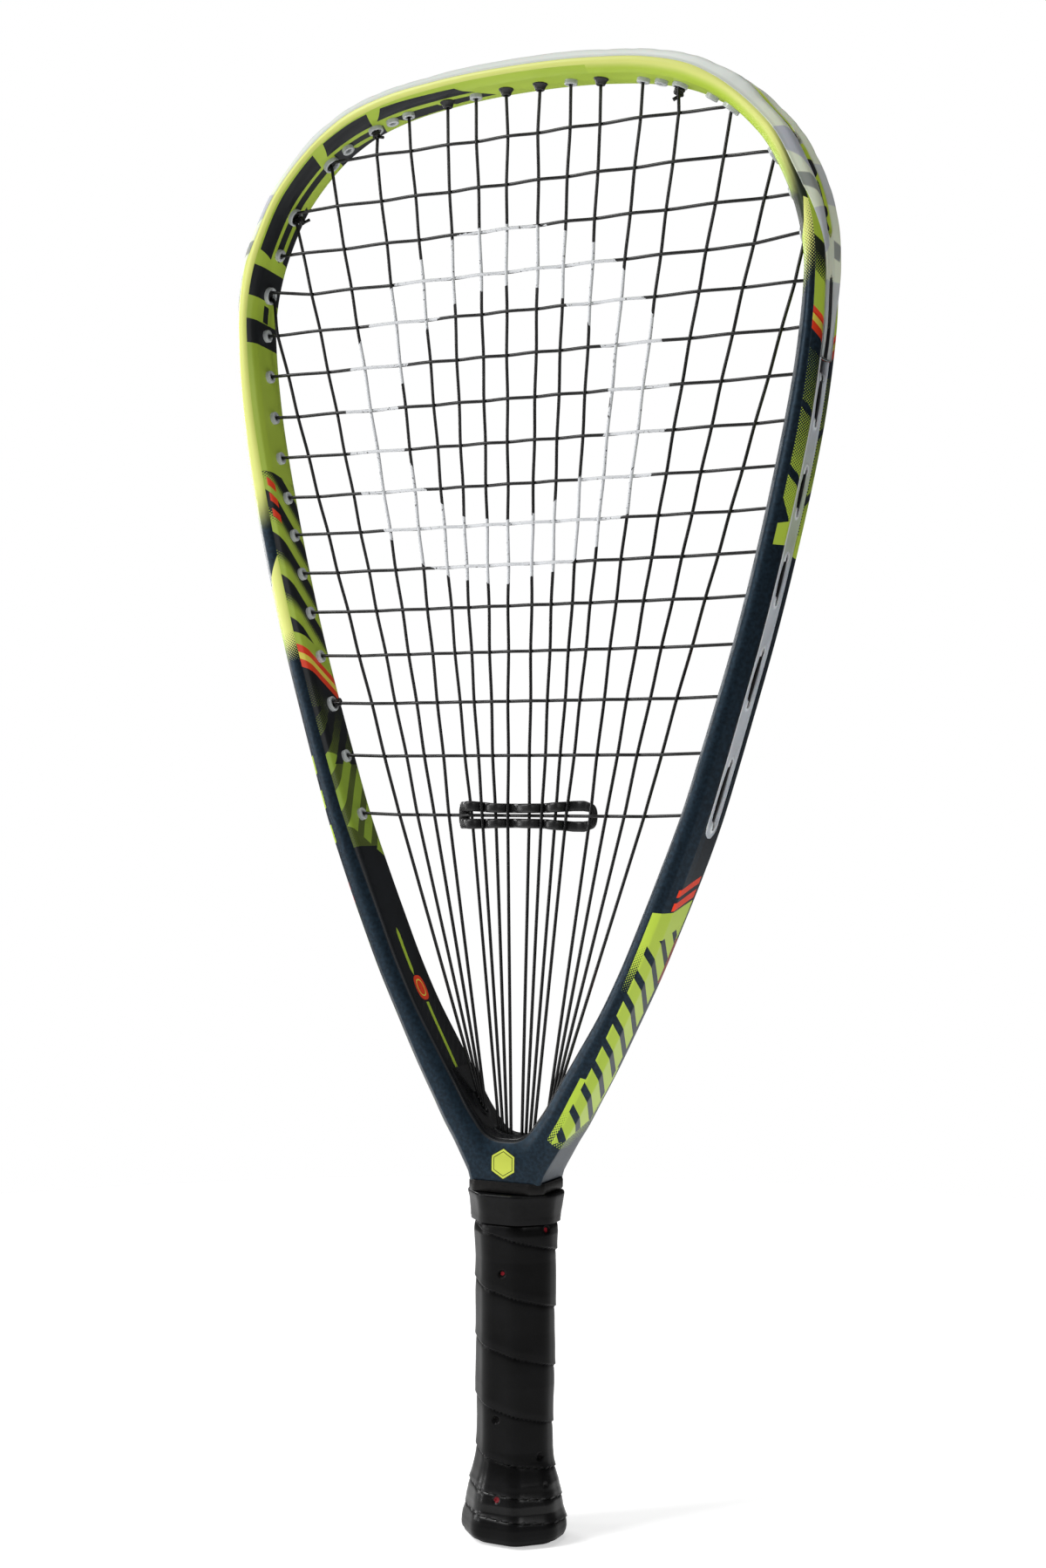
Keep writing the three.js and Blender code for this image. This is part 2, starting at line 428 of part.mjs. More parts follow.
function strip(side) {
  const s0 = side * (S_JOINT + JOINT_GAP), s1 = side * S_STRIP_END;
  const body = solidSkin(bandStations(s0, s1).map(w =>
    [[w.t - 1.3, -STRIP_HALF], [w.t + STRIP_PROUD - 0.5, -STRIP_HALF], [w.t + STRIP_PROUD, -STRIP_HALF + 1.4], [w.t + STRIP_PROUD, STRIP_HALF - 1.4], [w.t + STRIP_PROUD - 0.5, STRIP_HALF], [w.t - 1.3, STRIP_HALF]].map(([u, v]) => at(w, u, v))));
  const keys = Object.keys(H).filter(k => Math.sign(H[k].s) === side && Math.abs(H[k].s) > S_JOINT);
  const { add, cut } = barrels(keys);
  return union([body, ...add]).subtract(cut).subtract(pocketTool);
}
function bumperRing(w) {
  // k grows from 0 at the joint with the strip to 1; the lip then reaches over the beam's bevel
  const k = Math.min(1, Math.max(0, (S_JOINT - Math.abs(w.s)) / 45)), lip = 0.12 + 0.88 * k;
  const proud = STRIP_PROUD + (BUMPER_PROUD - STRIP_PROUD) * k, T = w.t;
  const end = 6.0 + 3.8 * lip, slope = Math.min(2.8, T * 0.3) / 3.2, u = T + GAP + 0.05 - Math.max(0, end - 8.1) * slope;
  const half = [
    [T - 1.3, 6.0], [T + GAP, 6.0], [T + GAP + 0.05, Math.min(8.1, end - 0.1)], [u, end], [Math.min(T + proud - 0.05, u + 0.75), end + 0.5 * lip], [T + proud, 6.0 + 1.4 * lip],
  ];
  return [...half.map(([p, v]) => [p, -v]), ...half.slice().reverse()].map(([p, v]) => at(w, p, v));
}
const bumperKeys = Object.keys(H).filter(k => Math.abs(H[k].s) < S_JOINT);
const bb = barrels(bumperKeys);
const bumper = union([solidSkin(bandStations(-S_JOINT, S_JOINT).map(bumperRing)), ...bb.add]).subtract(bb.cut).subtract(pocketTool);

// flared black grommet
function powerGrommet(h) {
  const w = h.w;
  const outer = union([rod(w, -2.6, -0.3, 2.3, 3.3), rod(w, -0.6, w.t - 1.75, 2.25, 2.25, 6)]);
  return outer.subtract(rod(w, -4, w.t + 2, 1.15, 1.15, 6));
}

// ---------------------------------------------------------------- damper
// A rubber loop that weaves between eight mains, one bar above and one below the last cross string.
const DAMPER_HALF_H = 2.25, DAMPER_HALF_T = 1.25, DAMPER_WAVE = 1.75, DAMPER_LEFT = -24.2, DAMPER_RIGHT = 28.4;
function damper() {
  const bar = z => {
    const pts = [[DAMPER_LEFT, 2.6, z], [DAMPER_LEFT + 0.7, 2.3, z]];
    for (let i = 5; i <= 12; i++) {
      // where this main passes the bar
      const x16 = mainX(i, 16), k = (z - CROSS_Z[15]) / (CROSS_Z[14] - CROSS_Z[15]), x = x16 + (mainX(i, 15) - x16) * k;
      const y = over(i, 16) ? DAMPER_WAVE : -DAMPER_WAVE, a = i === 5 ? 1.2 : 0.85, b = i === 12 ? 1.4 : 0.85;
      pts.push([x - a, y, z], [x + b, y, z]);
    }
    pts.push([DAMPER_RIGHT - 2.4, 2.9, z], [DAMPER_RIGHT, 3.0, z]);
    return toSolid(stringTube(pts, DAMPER_HALF_H * 1.06, 8, DAMPER_HALF_T * 1.06));
  };
  const end = (cx, cy) => solidSkin([CROSS_Z[15] - 5.6, CROSS_Z[15] + 5.6].map(z => octRing(1.9, 1.6, 0.7, z).map(([x, y, q]) => [x + cx, y + cy, q])));
  return union([bar(CROSS_Z[15] + 3.75), bar(CROSS_Z[15] - 3.75), end(DAMPER_LEFT, 3.0), end(DAMPER_RIGHT, 3.3)]);
}

// ---------------------------------------------------------------- handle
const tube = (rings, innerRings) => solidSkin(rings).subtract(solidSkin(innerRings));
const o = (d, z) => octRing(HANDLE_HX - d, HANDLE_HY - d, HANDLE_C - d * 0.59, z);
const FLARE = [[GRIP_FOOT, 4.2], [4.5, 5.0], [8.5, 4.6], [14, 3.0], [20, 1.5], [27, 0.5], [34, 0]];
const wrapRings = (d) => [...FLARE.map(([z, e]) => o(d - e, z)), o(d, GRIP_TOP)];
const wrapOuter = [...FLARE.map(([z, e]) => o(-e, z)), o(0, COLLAR_Z0 - 0.6), o(SQUEEZE, COLLAR_Z0 - 0.3), o(SQUEEZE, GRIP_TOP)];
const gripWrap = tube(wrapOuter, [o(GRIP_T - 4.2, GRIP_FOOT - 3), ...wrapRings(GRIP_T), o(GRIP_T, GRIP_TOP + 2)]);
const underlay = tube([o(2.3, 29), o(2.3, GRIP_TOP)], [o(3.0, 27), o(3.0, GRIP_TOP + 2)]);
const palletFull = tube([o(3.3, 17), o(3.3, GRIP_TOP)], [octRing(SHAFT_HX + GAP, SHAFT_HY + GAP, 2.2, 15), octRing(SHAFT_HX + GAP, SHAFT_HY + GAP, 2.2, GRIP_TOP + 2)]);
// butt cap: knob and skirt, a shallow bowl below with a bar across it
const capOuter = solidSkin([o(GRIP_T + 1.0 - 4.2, 0), o(GRIP_T + 0.3 - 4.4, 1.6), o(GRIP_T + 0.3 - 5.0, 4.7), o(GRIP_T + 0.3 - 4.5, 8.7), o(GRIP_T + 0.3 - 2.9, 14.2), o(GRIP_T + 0.3 - 1.4, 20.2), o(GRIP_T + 0.3 - 0.4, 27.2), o(2.3, 28.7)]);
const capSocket = solidSkin([o(3.0, 16.7), o(3.0, 40)]);
const capWell = solidSkin([octRing(SHAFT_HX + GAP, SHAFT_HY + GAP, 2.2, 11.7), octRing(SHAFT_HX + GAP, SHAFT_HY + GAP, 2.2, 18)]);
const capBowl = solidSkin([octRing(12.2, 10, 6, -1), octRing(10.6, 8.6, 5.2, 9.5)]);
const capBarHoles = box(-13.4, 13.4, -1.5, 1.5, 1.3, 4.1);
const stapleLeg = (side, y, g) => box(Math.min(side * (9.9 - g), side * 12.6), Math.max(side * (9.9 - g), side * 12.6), y - 0.5 - g, y + 0.5 + g, 22 - g, 23 + g);
const stapleCuts = side => union([box(Math.min(side * 11.6, side * 18), Math.max(side * 11.6, side * 18), -3.3, 3.3, 21.7, 23.3), stapleLeg(side, -2.4, 0.3), stapleLeg(side, 2.4, 0.3)]);
const staple = side => union([box(Math.min(side * 11.9, side * 12.6), Math.max(side * 11.9, side * 12.6), -2.9, 2.9, 22, 23), stapleLeg(side, -2.4, 0), stapleLeg(side, 2.4, 0)]);
const pallet = palletFull.subtract(stapleCuts(-1)).subtract(stapleCuts(1));
const palletFront = pallet.subtract(box(-30, 30, -0.15, 40, -5, 200));
const palletBack = pallet.subtract(box(-30, 30, -40, 0.15, -5, 200));
const buttCap = capOuter.subtract(capSocket).subtract(capWell).subtract(capBowl).subtract(capBarHoles).subtract(stapleCuts(-1)).subtract(stapleCuts(1));
const tetherBar = box(-13.0, 13.0, -1.2, 1.2, 1.6, 3.8);
// collar over the top of the wrap, tape round the foot of the throat
const c2 = (d, z) => octRing(HANDLE_HX + d, HANDLE_HY + d, HANDLE_C + d * 0.59, z);
const collar = tube([c2(1.35, COLLAR_Z0), c2(1.5, COLLAR_Z0 + 1), c2(1.6, COLLAR_Z1 - 3), c2(1.9, COLLAR_Z1 - 1), c2(1.7, COLLAR_Z1)],
  [c2(GAP - SQUEEZE, COLLAR_Z0 - 2), c2(GAP - SQUEEZE, COLLAR_Z1 - 4), c2(0.55, COLLAR_Z1 + 2)]);
const tape = tube([octRing(16.3, 12.4, 1.9, COLLAR_Z1 + 0.3), octRing(16.3, 12.4, 1.9, COLLAR_Z1 + 3.6)],
  [octRing(15.8, 11.9, 1.6, COLLAR_Z1 - 2), octRing(15.8, 11.9, 1.6, COLLAR_Z1 + 6)]);

// ---------------------------------------------------------------- scene graph
const racket = new THREE.Group();
racket.name = 'racket';
function put(name, solid, color, roughness, metalness = 0) {
  const mesh = new THREE.Mesh(toGeometry(solid), new THREE.MeshStandardMaterial({ color, roughness, metalness }));
  mesh.name = name;
  racket.add(mesh);
}
put('frame', frame, 0x22384a, 0.35, 0.4);
put('bumper_guard', bumper, 0xd6dace, 0.45);
put('left_grommet_strip', strip(-1), 0xaeb2b4, 0.45);
put('right_grommet_strip', strip(1), 0xaeb2b4, 0.45);
put('flared_grommet_1', powerGrommet(H.LT6), 0x151515, 0.4);
put('flared_grommet_2', powerGrommet(H.LT8), 0x151515, 0.4);
put('flared_grommet_3', powerGrommet(H.RT8), 0x151515, 0.4);
put('flared_grommet_4', powerGrommet(H.RT6), 0x151515, 0.4);
put('throat_bridge', bridge, 0x121214, 0.3);
put('main_string', mainString, 0x0c0c0d, 0.35);
put('cross_string', crossString, 0x0c0c0d, 0.35);
put('string_damper', damper(), 0x1a1a1b, 0.5);
put('handle_pallet_front', palletFront, 0x3b3b3b, 0.8);
put('handle_pallet_back', palletBack, 0x3b3b3b, 0.8);
put('butt_cap', buttCap, 0x141414, 0.5);
put('tether_bar', tetherBar, 0x9a9da0, 0.3, 0.9);
put('butt_cap_staple_left', staple(-1), 0x9a9da0, 0.3, 0.9);
put('butt_cap_staple_right', staple(1), 0x9a9da0, 0.3, 0.9);
put('grip_underlay', underlay, 0xb01522, 0.7);
put('grip_wrap', gripWrap, 0x1c1c1d, 0.5);
put('grip_collar', collar, 0x1a1a1b, 0.5);
put('finishing_tape', tape, 0x2a2523, 0.6);

export default racket;
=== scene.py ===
"""Racquetball racket, 559 mm long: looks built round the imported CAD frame.
All lengths in the tables are in mm; meshes are written in metres, in the frame's own axes:
+Z from the butt to the head, string bed in the plane y = 0, front face towards -Y."""
import math

import bpy
import numpy as np
from mathutils import Matrix


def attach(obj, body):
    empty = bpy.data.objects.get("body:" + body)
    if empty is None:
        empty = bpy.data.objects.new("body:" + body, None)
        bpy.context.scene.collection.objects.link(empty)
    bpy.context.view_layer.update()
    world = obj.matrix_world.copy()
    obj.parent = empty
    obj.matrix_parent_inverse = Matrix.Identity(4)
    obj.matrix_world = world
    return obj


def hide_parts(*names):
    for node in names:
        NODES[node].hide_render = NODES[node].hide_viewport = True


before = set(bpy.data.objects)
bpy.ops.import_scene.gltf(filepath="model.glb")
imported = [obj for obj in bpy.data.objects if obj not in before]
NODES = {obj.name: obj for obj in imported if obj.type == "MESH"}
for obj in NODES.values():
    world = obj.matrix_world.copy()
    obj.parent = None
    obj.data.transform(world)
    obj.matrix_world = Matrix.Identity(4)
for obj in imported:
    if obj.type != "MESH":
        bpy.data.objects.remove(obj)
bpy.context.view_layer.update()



# ------------------------------------------------------------------ driving dimensions, mm
B = 11.6
HOOP = [
    [0, 550.8, 6.5, 0.60], [10, 550.7, 6.5, 0.60], [20, 550.3, 6.6, 0.60], [32.5, 549.3, 6.8, 0.60],
    [50, 546.9, 7.4, 0.60], [64.7, 543.0, 7.9, 0.60], [75, 538.3, 8.3, 0.60], [85, 531.6, 9.0, 0.60],
    [95, 521.8, 9.3, 0.60], [102, 512.3, 9.6, 0.60], [109, 497.6, 9.5, 0.60], [113, 484.5, 8.8, 0.60],
    [114.8, 472, 8.1, 0.60], [114.6, 462, 8.2, 0.60], [113.4, 448.8, 8.8, 0.60], [111.2, 432.4, 9.2, 0.60],
    [108.2, 416, 9.7, 0.60], [104.9, 400.3, 9.9, 0.60], [101.3, 384, 9.9, 0.60], [97.5, 368.1, 9.9, 0.60],
    [93.3, 351.5, 9.9, 0.60], [88.7, 334.7, 9.9, 0.61], [83, 315.8, 10.0, 0.62], [76.6, 295.3, 10.2, 0.64],
    [69.3, 272.6, 10.3, 0.68], [60.2, 249.0, 10.4, 0.74], [53.7, 232.9, 10.3, 0.78], [46.6, 216.2, 10.2, 0.80],
    [38.4, 199.5, 10.3, 0.82],
]
THROAT = [
    [28.8, 183.2, 39.0, 177.6, 0.83, 0.0], [21, 170.2, 31.6, 164.0, 0.84, 0.0],
    [16.5, 162.5, 26.9, 155.6, 0.84, 0.1], [13, 157.5, 22.6, 149.0, 0.84, 0.2],
    [10.5, 154.2, 18.7, 142.6, 0.84, 0.4], [8.2, 152, 15.6, 137.2, 0.84, 0.5],
    [5.2, 150.5, 13.5, 131.5, 0.84, 0.6], [2.6, 150.05, 7.4, 131.0, 0.84, 0.6],
    [0, 150.0, 0, 131.0, 0.84, 0.6],
]


def catmull(p, t):
    a, b, c, d = p
    return 0.5 * (2 * b + (c - a) * t + (2 * a - 5 * b + 4 * c - d) * t * t + (3 * b - a - 3 * c + d) * t ** 3)


def make_wall():
    """Right half of the frame's path from the tip to the bottom of the V: x, z, outer x, outer z, flat share, squareness."""
    hoop = np.array(HOOP, float)
    rows = []
    for i, (x, z, T, f) in enumerate(HOOP):
        p = hoop[i - 1] if i else np.array([-hoop[1][0], hoop[1][1], 0, 0])
        q = hoop[i + 1] if i + 1 < len(hoop) else np.array([28.8, 183.2, 0, 0])
        tx, tz = q[0] - p[0], q[1] - p[1]
        l = np.hypot(tx, tz)
        rows.append([x, z, x - tz / l * T, z + tx / l * T, f, 0.0])
    rows += [list(map(float, r)) for r in THROAT]
    P = np.array(rows)
    flip = np.array([-1, 1, -1, 1, 1, 1.0])
    P = np.vstack([P[1] * flip, P, P[-2] * flip])
    out = []
    n = 16
    for i in range(1, len(P) - 2):
        for k in range(n):
            out.append(catmull(P[i - 1:i + 3], k / n))
    out.append(P[-2])
    out = np.array(out)
    out[0, 0] = out[0, 2] = 0
    s = np.concatenate([[0], np.cumsum(np.hypot(np.diff(out[:, 0]), np.diff(out[:, 1])))])
    return s, out


S_TAB, W_TAB = make_wall()
S_END = S_TAB[-1]


class Wall:
    """The frame's path at signed arc length s (arrays allowed): negative on the left half."""

    def __init__(self, s):
        s = np.asarray(s, float)
        side = np.where(s < 0, -1.0, 1.0)
        a = np.clip(np.abs(s), 0, S_END)
        x, z, ox, oz, self.f, self.k = [np.interp(a, S_TAB, W_TAB[:, j]) for j in range(6)]
        self.s, self.side = s, side
        self.x, self.z = x * side, z
        dx, dz = (ox - x) * side, oz - z
        self.t = np.hypot(dx, dz)
        self.nx, self.nz = dx / self.t, dz / self.t

    def at(self, u, y):
        u, y = np.broadcast_arrays(np.asarray(u, float), np.asarray(y, float))
        return np.stack(np.broadcast_arrays(self.x + self.nx * u, y, self.z + self.nz * u), -1)


def wall_near(x, z):
    d = np.hypot(W_TAB[:, 0] - abs(x), W_TAB[:, 1] - z)
    i = int(np.argmin(d))
    lo, hi = max(0, i - 1), min(len(d) - 1, i + 1)
    best = None
    for a, b in ((lo, i), (i, hi)):
        if a == b:
            continue
        p, q = W_TAB[a, :2], W_TAB[b, :2]
        v = q - p
        k = np.clip(np.dot(np.array([abs(x), z]) - p, v) / np.dot(v, v), 0, 1)
        e = np.hypot(*(p + v * k - np.array([abs(x), z])))
        if best is None or e < best[0]:
            best = (e, S_TAB[a] + (S_TAB[b] - S_TAB[a]) * k)
    return -best[1] if x < 0 else best[1]


# ------------------------------------------------------------------ string pattern
CROSS_Z = [532.4, 514.2, 497.0, 480.4, 465.2, 448.5, 431.7, 415.2, 399.0, 383.8, 368.2, 352.4, 334.9, 315.9, 295.2, 272.3]
MAIN_X = [
    [None, None, 85.8, 64.1, 48.7, 32.3, 19.8, 6.5], [None, 102.5, 81.8, 61.7, 46.3, 31.4, 18.8, 6.7],
    [None, 97.6, 78.6, 59.3, 44.8, 30.3, 18.3, 6.5], [None, 93.5, 75.1, 57.0, 42.7, 29.5, 17.5, 6.6],
    [109.3, 89.5, 72.2, 54.9, 41.3, 28.6, 17.0, 6.4], [104.0, 85.5, 68.9, 52.7, 39.4, 27.8, 16.3, 6.3],
    [99.4, 81.4, 66.0, 50.3, 37.8, 26.6, 15.9, 5.8], [94.5, 77.5, 62.7, 48.2, 36.0, 25.7, 15.2, 5.7],
    [89.8, 73.5, 59.8, 45.9, 34.4, 24.7, 14.8, 5.3], [85.0, 70.0, 56.8, 44.0, 32.6, 24.0, 14.2, 5.3],
    [80.3, 66.2, 54.0, 41.9, 31.2, 23.0, 13.9, 5.0], [75.4, 62.7, 51.0, 39.9, 29.3, 22.1, 13.2, 5.0],
    [70.4, 58.4, 48.1, 37.5, 27.8, 20.5, 12.8, 4.6], [64.5, 54.0, 44.4, 35.4, 25.3, 19.2, 11.7, 4.9],
    [58.6, 48.5, 41.0, 32.4, 23.2, 17.1, 11.2, 4.5], [51.8, 43.7, 36.3, 29.8, 20.0, 15.5, 9.8, 4.4],
]
FOOT = [[17.2, 163.7], [16.2, 162.1], [15.2, 160.5], [14.2, 159.0], [7.4, 151.5], [5.7, 150.6], [4.0, 150.2], [2.3, 150.0]]
STRING_R = 0.63
MAIN_WAVE = 0.3
CROSS_WAVE = 0.7
LANE = 1.5
GROOVE = 2.2
S_STRIP_END = wall_near(67.8, 268.0)
S_JOINT = wall_near(111.9, 437.5)
HOLES = {}


def hole(name, x, z, kind):
    for side in (-1, 1):
        HOLES[("L" if side < 0 else "R") + name] = [wall_near(side * x, z), kind]


for _n, _x, _z, _k in (("T8", 7.2, 550.8, "power"), ("T7", 20.2, 550.3, "one"), ("T6", 32.6, 549.3, "power"), ("T5", 49.9, 547, "one"),
                       ("E2", 57.1, 545.2, "one"), ("T4", 64.7, 543, "two"), ("E1", 77.6, 537, "one"), ("T3", 85, 531.6, "three"),
                       ("T2", 102, 512.3, "three"), ("C3", 109, 497.6, "one"), ("T1", 113.4, 481.5, "three")):
    hole(_n, _x, _z, _k)
_low = W_TAB[:, 0] > 30
for _j in range(5, 17):
    _z = CROSS_Z[_j - 1]
    hole("C%d" % _j, float(np.interp(-_z, -W_TAB[_low & (W_TAB[:, 1] < 500), 1], W_TAB[_low & (W_TAB[:, 1] < 500), 0])), _z, "one")
HOLES["LC14"][1] = "two"
BORE = {"one": 1.15, "power": 1.15, "two": 1.95, "three": 2.55}
RING = {"one": 2.5, "power": 2.5, "two": 3.0, "three": 3.5}


# ------------------------------------------------------------------ mesh tools
def build(name, verts, faces, attributes=None, sharp=None, materials=(), face_material=None):
    me = bpy.data.meshes.new(name)
    me.from_pydata((np.asarray(verts, float) * 0.001).tolist(), [], [tuple(int(i) for i in f) for f in faces])
    me.update()
    me.polygons.foreach_set("use_smooth", [True] * len(me.polygons))
    if sharp is not None:
        me.set_sharp_from_angle(angle=math.radians(sharp))
    for key, values in (attributes or {}).items():
        a = me.attributes.new(key, "FLOAT", "POINT")
        a.data.foreach_set("value", np.asarray(values, np.float32))
    ob = bpy.data.objects.new(name, me)
    bpy.context.scene.collection.objects.link(ob)
    for m in materials:
        me.materials.append(m)
    if face_material is not None:
        me.polygons.foreach_set("material_index", np.asarray(face_material, np.int32))
    return ob


def grid_faces(rows, cols, close_rows=False, close_cols=True, offset=0, flip=False):
    r = np.arange(rows if close_rows else rows - 1)
    c = np.arange(cols if close_cols else cols - 1)
    R, C = np.meshgrid(r, c, indexing="ij")
    R2, C2 = (R + 1) % rows, (C + 1) % cols
    q = np.stack([R * cols + C, R * cols + C2, R2 * cols + C2, R2 * cols + C], -1).reshape(-1, 4) + offset
    return (q[:, ::-1] if flip else q).tolist()


def volume(verts, faces):
    v = np.asarray(verts, float)
    total = 0.0
    for n in set(len(f) for f in faces):
        F = np.array([f for f in faces if len(f) == n])
        a = v[F[:, 0]]
        for i in range(1, n - 1):
            total += np.einsum("ij,ij->", a, np.cross(v[F[:, i]], v[F[:, i + 1]]))
    return total


def fix(verts, faces):
    """Faces turned so that the closed mesh faces outward."""
    return [f[::-1] for f in faces] if volume(verts, faces) < 0 else faces


class Pile:
    """Closed shapes gathered into one mesh."""

    def __init__(self):
        self.v, self.f, self.m, self.a, self.n = [], [], [], {}, 0

    def add(self, verts, faces, material=0, **attributes):
        verts = np.asarray(verts, float)
        faces = fix(verts, faces)
        for key in set(attributes) | set(self.a):
            store = self.a.setdefault(key, [np.zeros(self.n)] if self.n else [])
            value = attributes.get(key, 0.0)
            store.append(np.broadcast_to(np.asarray(value, float), (len(verts),)))
        self.v.append(verts)
        self.f += [[i + self.n for i in f] for f in faces]
        self.m += [material] * len(faces)
        self.n += len(verts)

    def done(self, name, materials, sharp=None):
        return build(name, np.vstack(self.v), self.f, {k: np.concatenate(v) for k, v in self.a.items()}, sharp, materials, self.m)


def finish_piece(ob, *nodes, slot=None):
    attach(ob, "root")
    if nodes:
        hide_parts(*nodes)
    return ob


def fillet(points, radii, n=3):
    """Polyline (list of arrays of shape (..., 2 or 3)) with its corners rounded: radii per corner, 0 keeps the corner."""
    out = []
    for i, p in enumerate(points):
        r = radii[i]
        if i == 0 or i == len(points) - 1 or not r:
            out.append(p)
            continue
        a, b = points[i - 1] - p, points[i + 1] - p
        la, lb = np.linalg.norm(a, axis=-1, keepdims=True), np.linalg.norm(b, axis=-1, keepdims=True)
        p0 = p + a / np.maximum(la, 1e-9) * np.minimum(r, la * 0.45)
        p1 = p + b / np.maximum(lb, 1e-9) * np.minimum(r, lb * 0.45)
        for k in range(n + 1):
            t = k / n
            out.append((1 - t) ** 2 * p0 + 2 * t * (1 - t) * p + t * t * p1)
    return out


def tube(path, r, sides=10, r2=None, cap=True):
    """Closed tube along an open path. r and r2 are the half sizes across; both may vary along the path."""
    P = np.asarray(path, float)
    keep = np.concatenate([[True], np.linalg.norm(np.diff(P, axis=0), axis=1) > 1e-4])
    P = P[keep]
    n = len(P)
    r = np.broadcast_to(np.asarray(r, float), keep.shape)[keep]
    r2 = r if r2 is None else np.broadcast_to(np.asarray(r2, float), keep.shape)[keep]
    d = np.diff(P, axis=0)
    d /= np.linalg.norm(d, axis=1)[:, None]
    T = np.vstack([d[:1], d[:-1] + d[1:], d[-1:]])
    T /= np.maximum(np.linalg.norm(T, axis=1), 1e-9)[:, None]
    ref = np.array([0, 1.0, 0]) if abs(T[0, 1]) < 0.9 else np.array([1.0, 0, 0])
    e = np.cross(T[0], ref)
    E1 = np.zeros((n, 3))
    for i in range(n):
        e = e - T[i] * np.dot(e, T[i])
        e /= np.linalg.norm(e)
        E1[i] = e
    E2 = np.cross(T, E1)
    a = np.arange(sides) / sides * 2 * np.pi
    V = P[:, None] + r[:, None, None] * np.cos(a)[None, :, None] * E1[:, None] + r2[:, None, None] * np.sin(a)[None, :, None] * E2[:, None]
    V = V.reshape(-1, 3)
    F = grid_faces(n, sides)
    if cap:
        F.append(list(range(sides))[::-1])
        F.append(list(range((n - 1) * sides, n * sides)))
    return V, F


def revolve(w, profile, sides=24, y=0.0, stretch=1.0):
    """Closed solid of revolution about the wall's normal at hole w. profile: (u, r) from the bottom centre to the top centre.
    stretch makes it longer along y."""
    a = np.arange(sides) / sides * 2 * np.pi
    V, F = [], []
    nrm = np.array([w.nx, 0, w.nz], float)
    tan = np.array([-w.nz, 0, w.nx], float)
    base = np.array([w.x, y, w.z], float)
    rings = []
    for u, r in profile:
        if r <= 1e-6:
            rings.append((len(V), 1))
            V.append(base + nrm * u)
        else:
            rings.append((len(V), sides))
            for k in a:
                V.append(base + nrm * u + tan * (np.cos(k) * r) + np.array([0, 1.0, 0]) * (np.sin(k) * (r + stretch - 1.0)))
    for (p, n), (q, m) in zip(rings[:-1], rings[1:]):
        for k in range(sides):
            k2 = (k + 1) % sides
            if n == 1 and m == 1:
                continue
            if n == 1:
                F.append([p, q + k, q + k2])
            elif m == 1:
                F.append([p + k, q, p + k2])
            else:
                F.append([p + k, q + k, q + k2, p + k2])
    return np.array(V), F


def smooth(e0, e1, x):
    t = np.clip((x - e0) / (e1 - e0), 0, 1)
    return t * t * (3 - 2 * t)


# ------------------------------------------------------------------ materials
class V:
    """A node socket or a number, with arithmetic that adds Math nodes."""

    def __init__(self, g, s):
        self.g, self.s = g, s

    def _m(self, op, *others, clamp=False):
        n = self.g.nodes.new("ShaderNodeMath")
        n.operation = op
        n.use_clamp = clamp
        for i, o in enumerate((self,) + others):
            o = o.s if isinstance(o, V) else o
            if isinstance(o, (int, float)):
                n.inputs[i].default_value = float(o)
            else:
                self.g.links.new(o, n.inputs[i])
        return V(self.g, n.outputs[0])

    def __add__(self, o): return self._m("ADD", o)
    def __radd__(self, o): return self._m("ADD", o)
    def __sub__(self, o): return self._m("SUBTRACT", o)
    def __rsub__(self, o): return V(self.g, float(o))._m("SUBTRACT", self)
    def __mul__(self, o): return self._m("MULTIPLY", o)
    def __rmul__(self, o): return self._m("MULTIPLY", o)
    def __truediv__(self, o): return self._m("DIVIDE", o)
    def __gt__(self, o): return self._m("GREATER_THAN", o)
    def __lt__(self, o): return self._m("LESS_THAN", o)
    def abs(self): return self._m("ABSOLUTE")
    def sin(self): return self._m("SINE")
    def min(self, o): return self._m("MINIMUM", o)
    def max(self, o): return self._m("MAXIMUM", o)
    def floor(self): return self._m("FLOOR")
    def power(self, o): return self._m("POWER", o)
    def sqrt(self): return self._m("SQRT")
    def clamp(self): return self._m("ADD", 0.0, clamp=True)

    def ramp(self, lo, hi, smooth=True):
        """0 at lo, 1 at hi."""
        n = self.g.nodes.new("ShaderNodeMapRange")
        n.interpolation_type = "SMOOTHSTEP" if smooth else "LINEAR"
        self.g.links.new(self.s, n.inputs["Value"])
        if lo < hi:
            n.inputs["From Min"].default_value, n.inputs["From Max"].default_value = lo, hi
            return V(self.g, n.outputs["Result"])
        n.inputs["From Min"].default_value, n.inputs["From Max"].default_value = hi, lo
        return 1.0 - V(self.g, n.outputs["Result"])


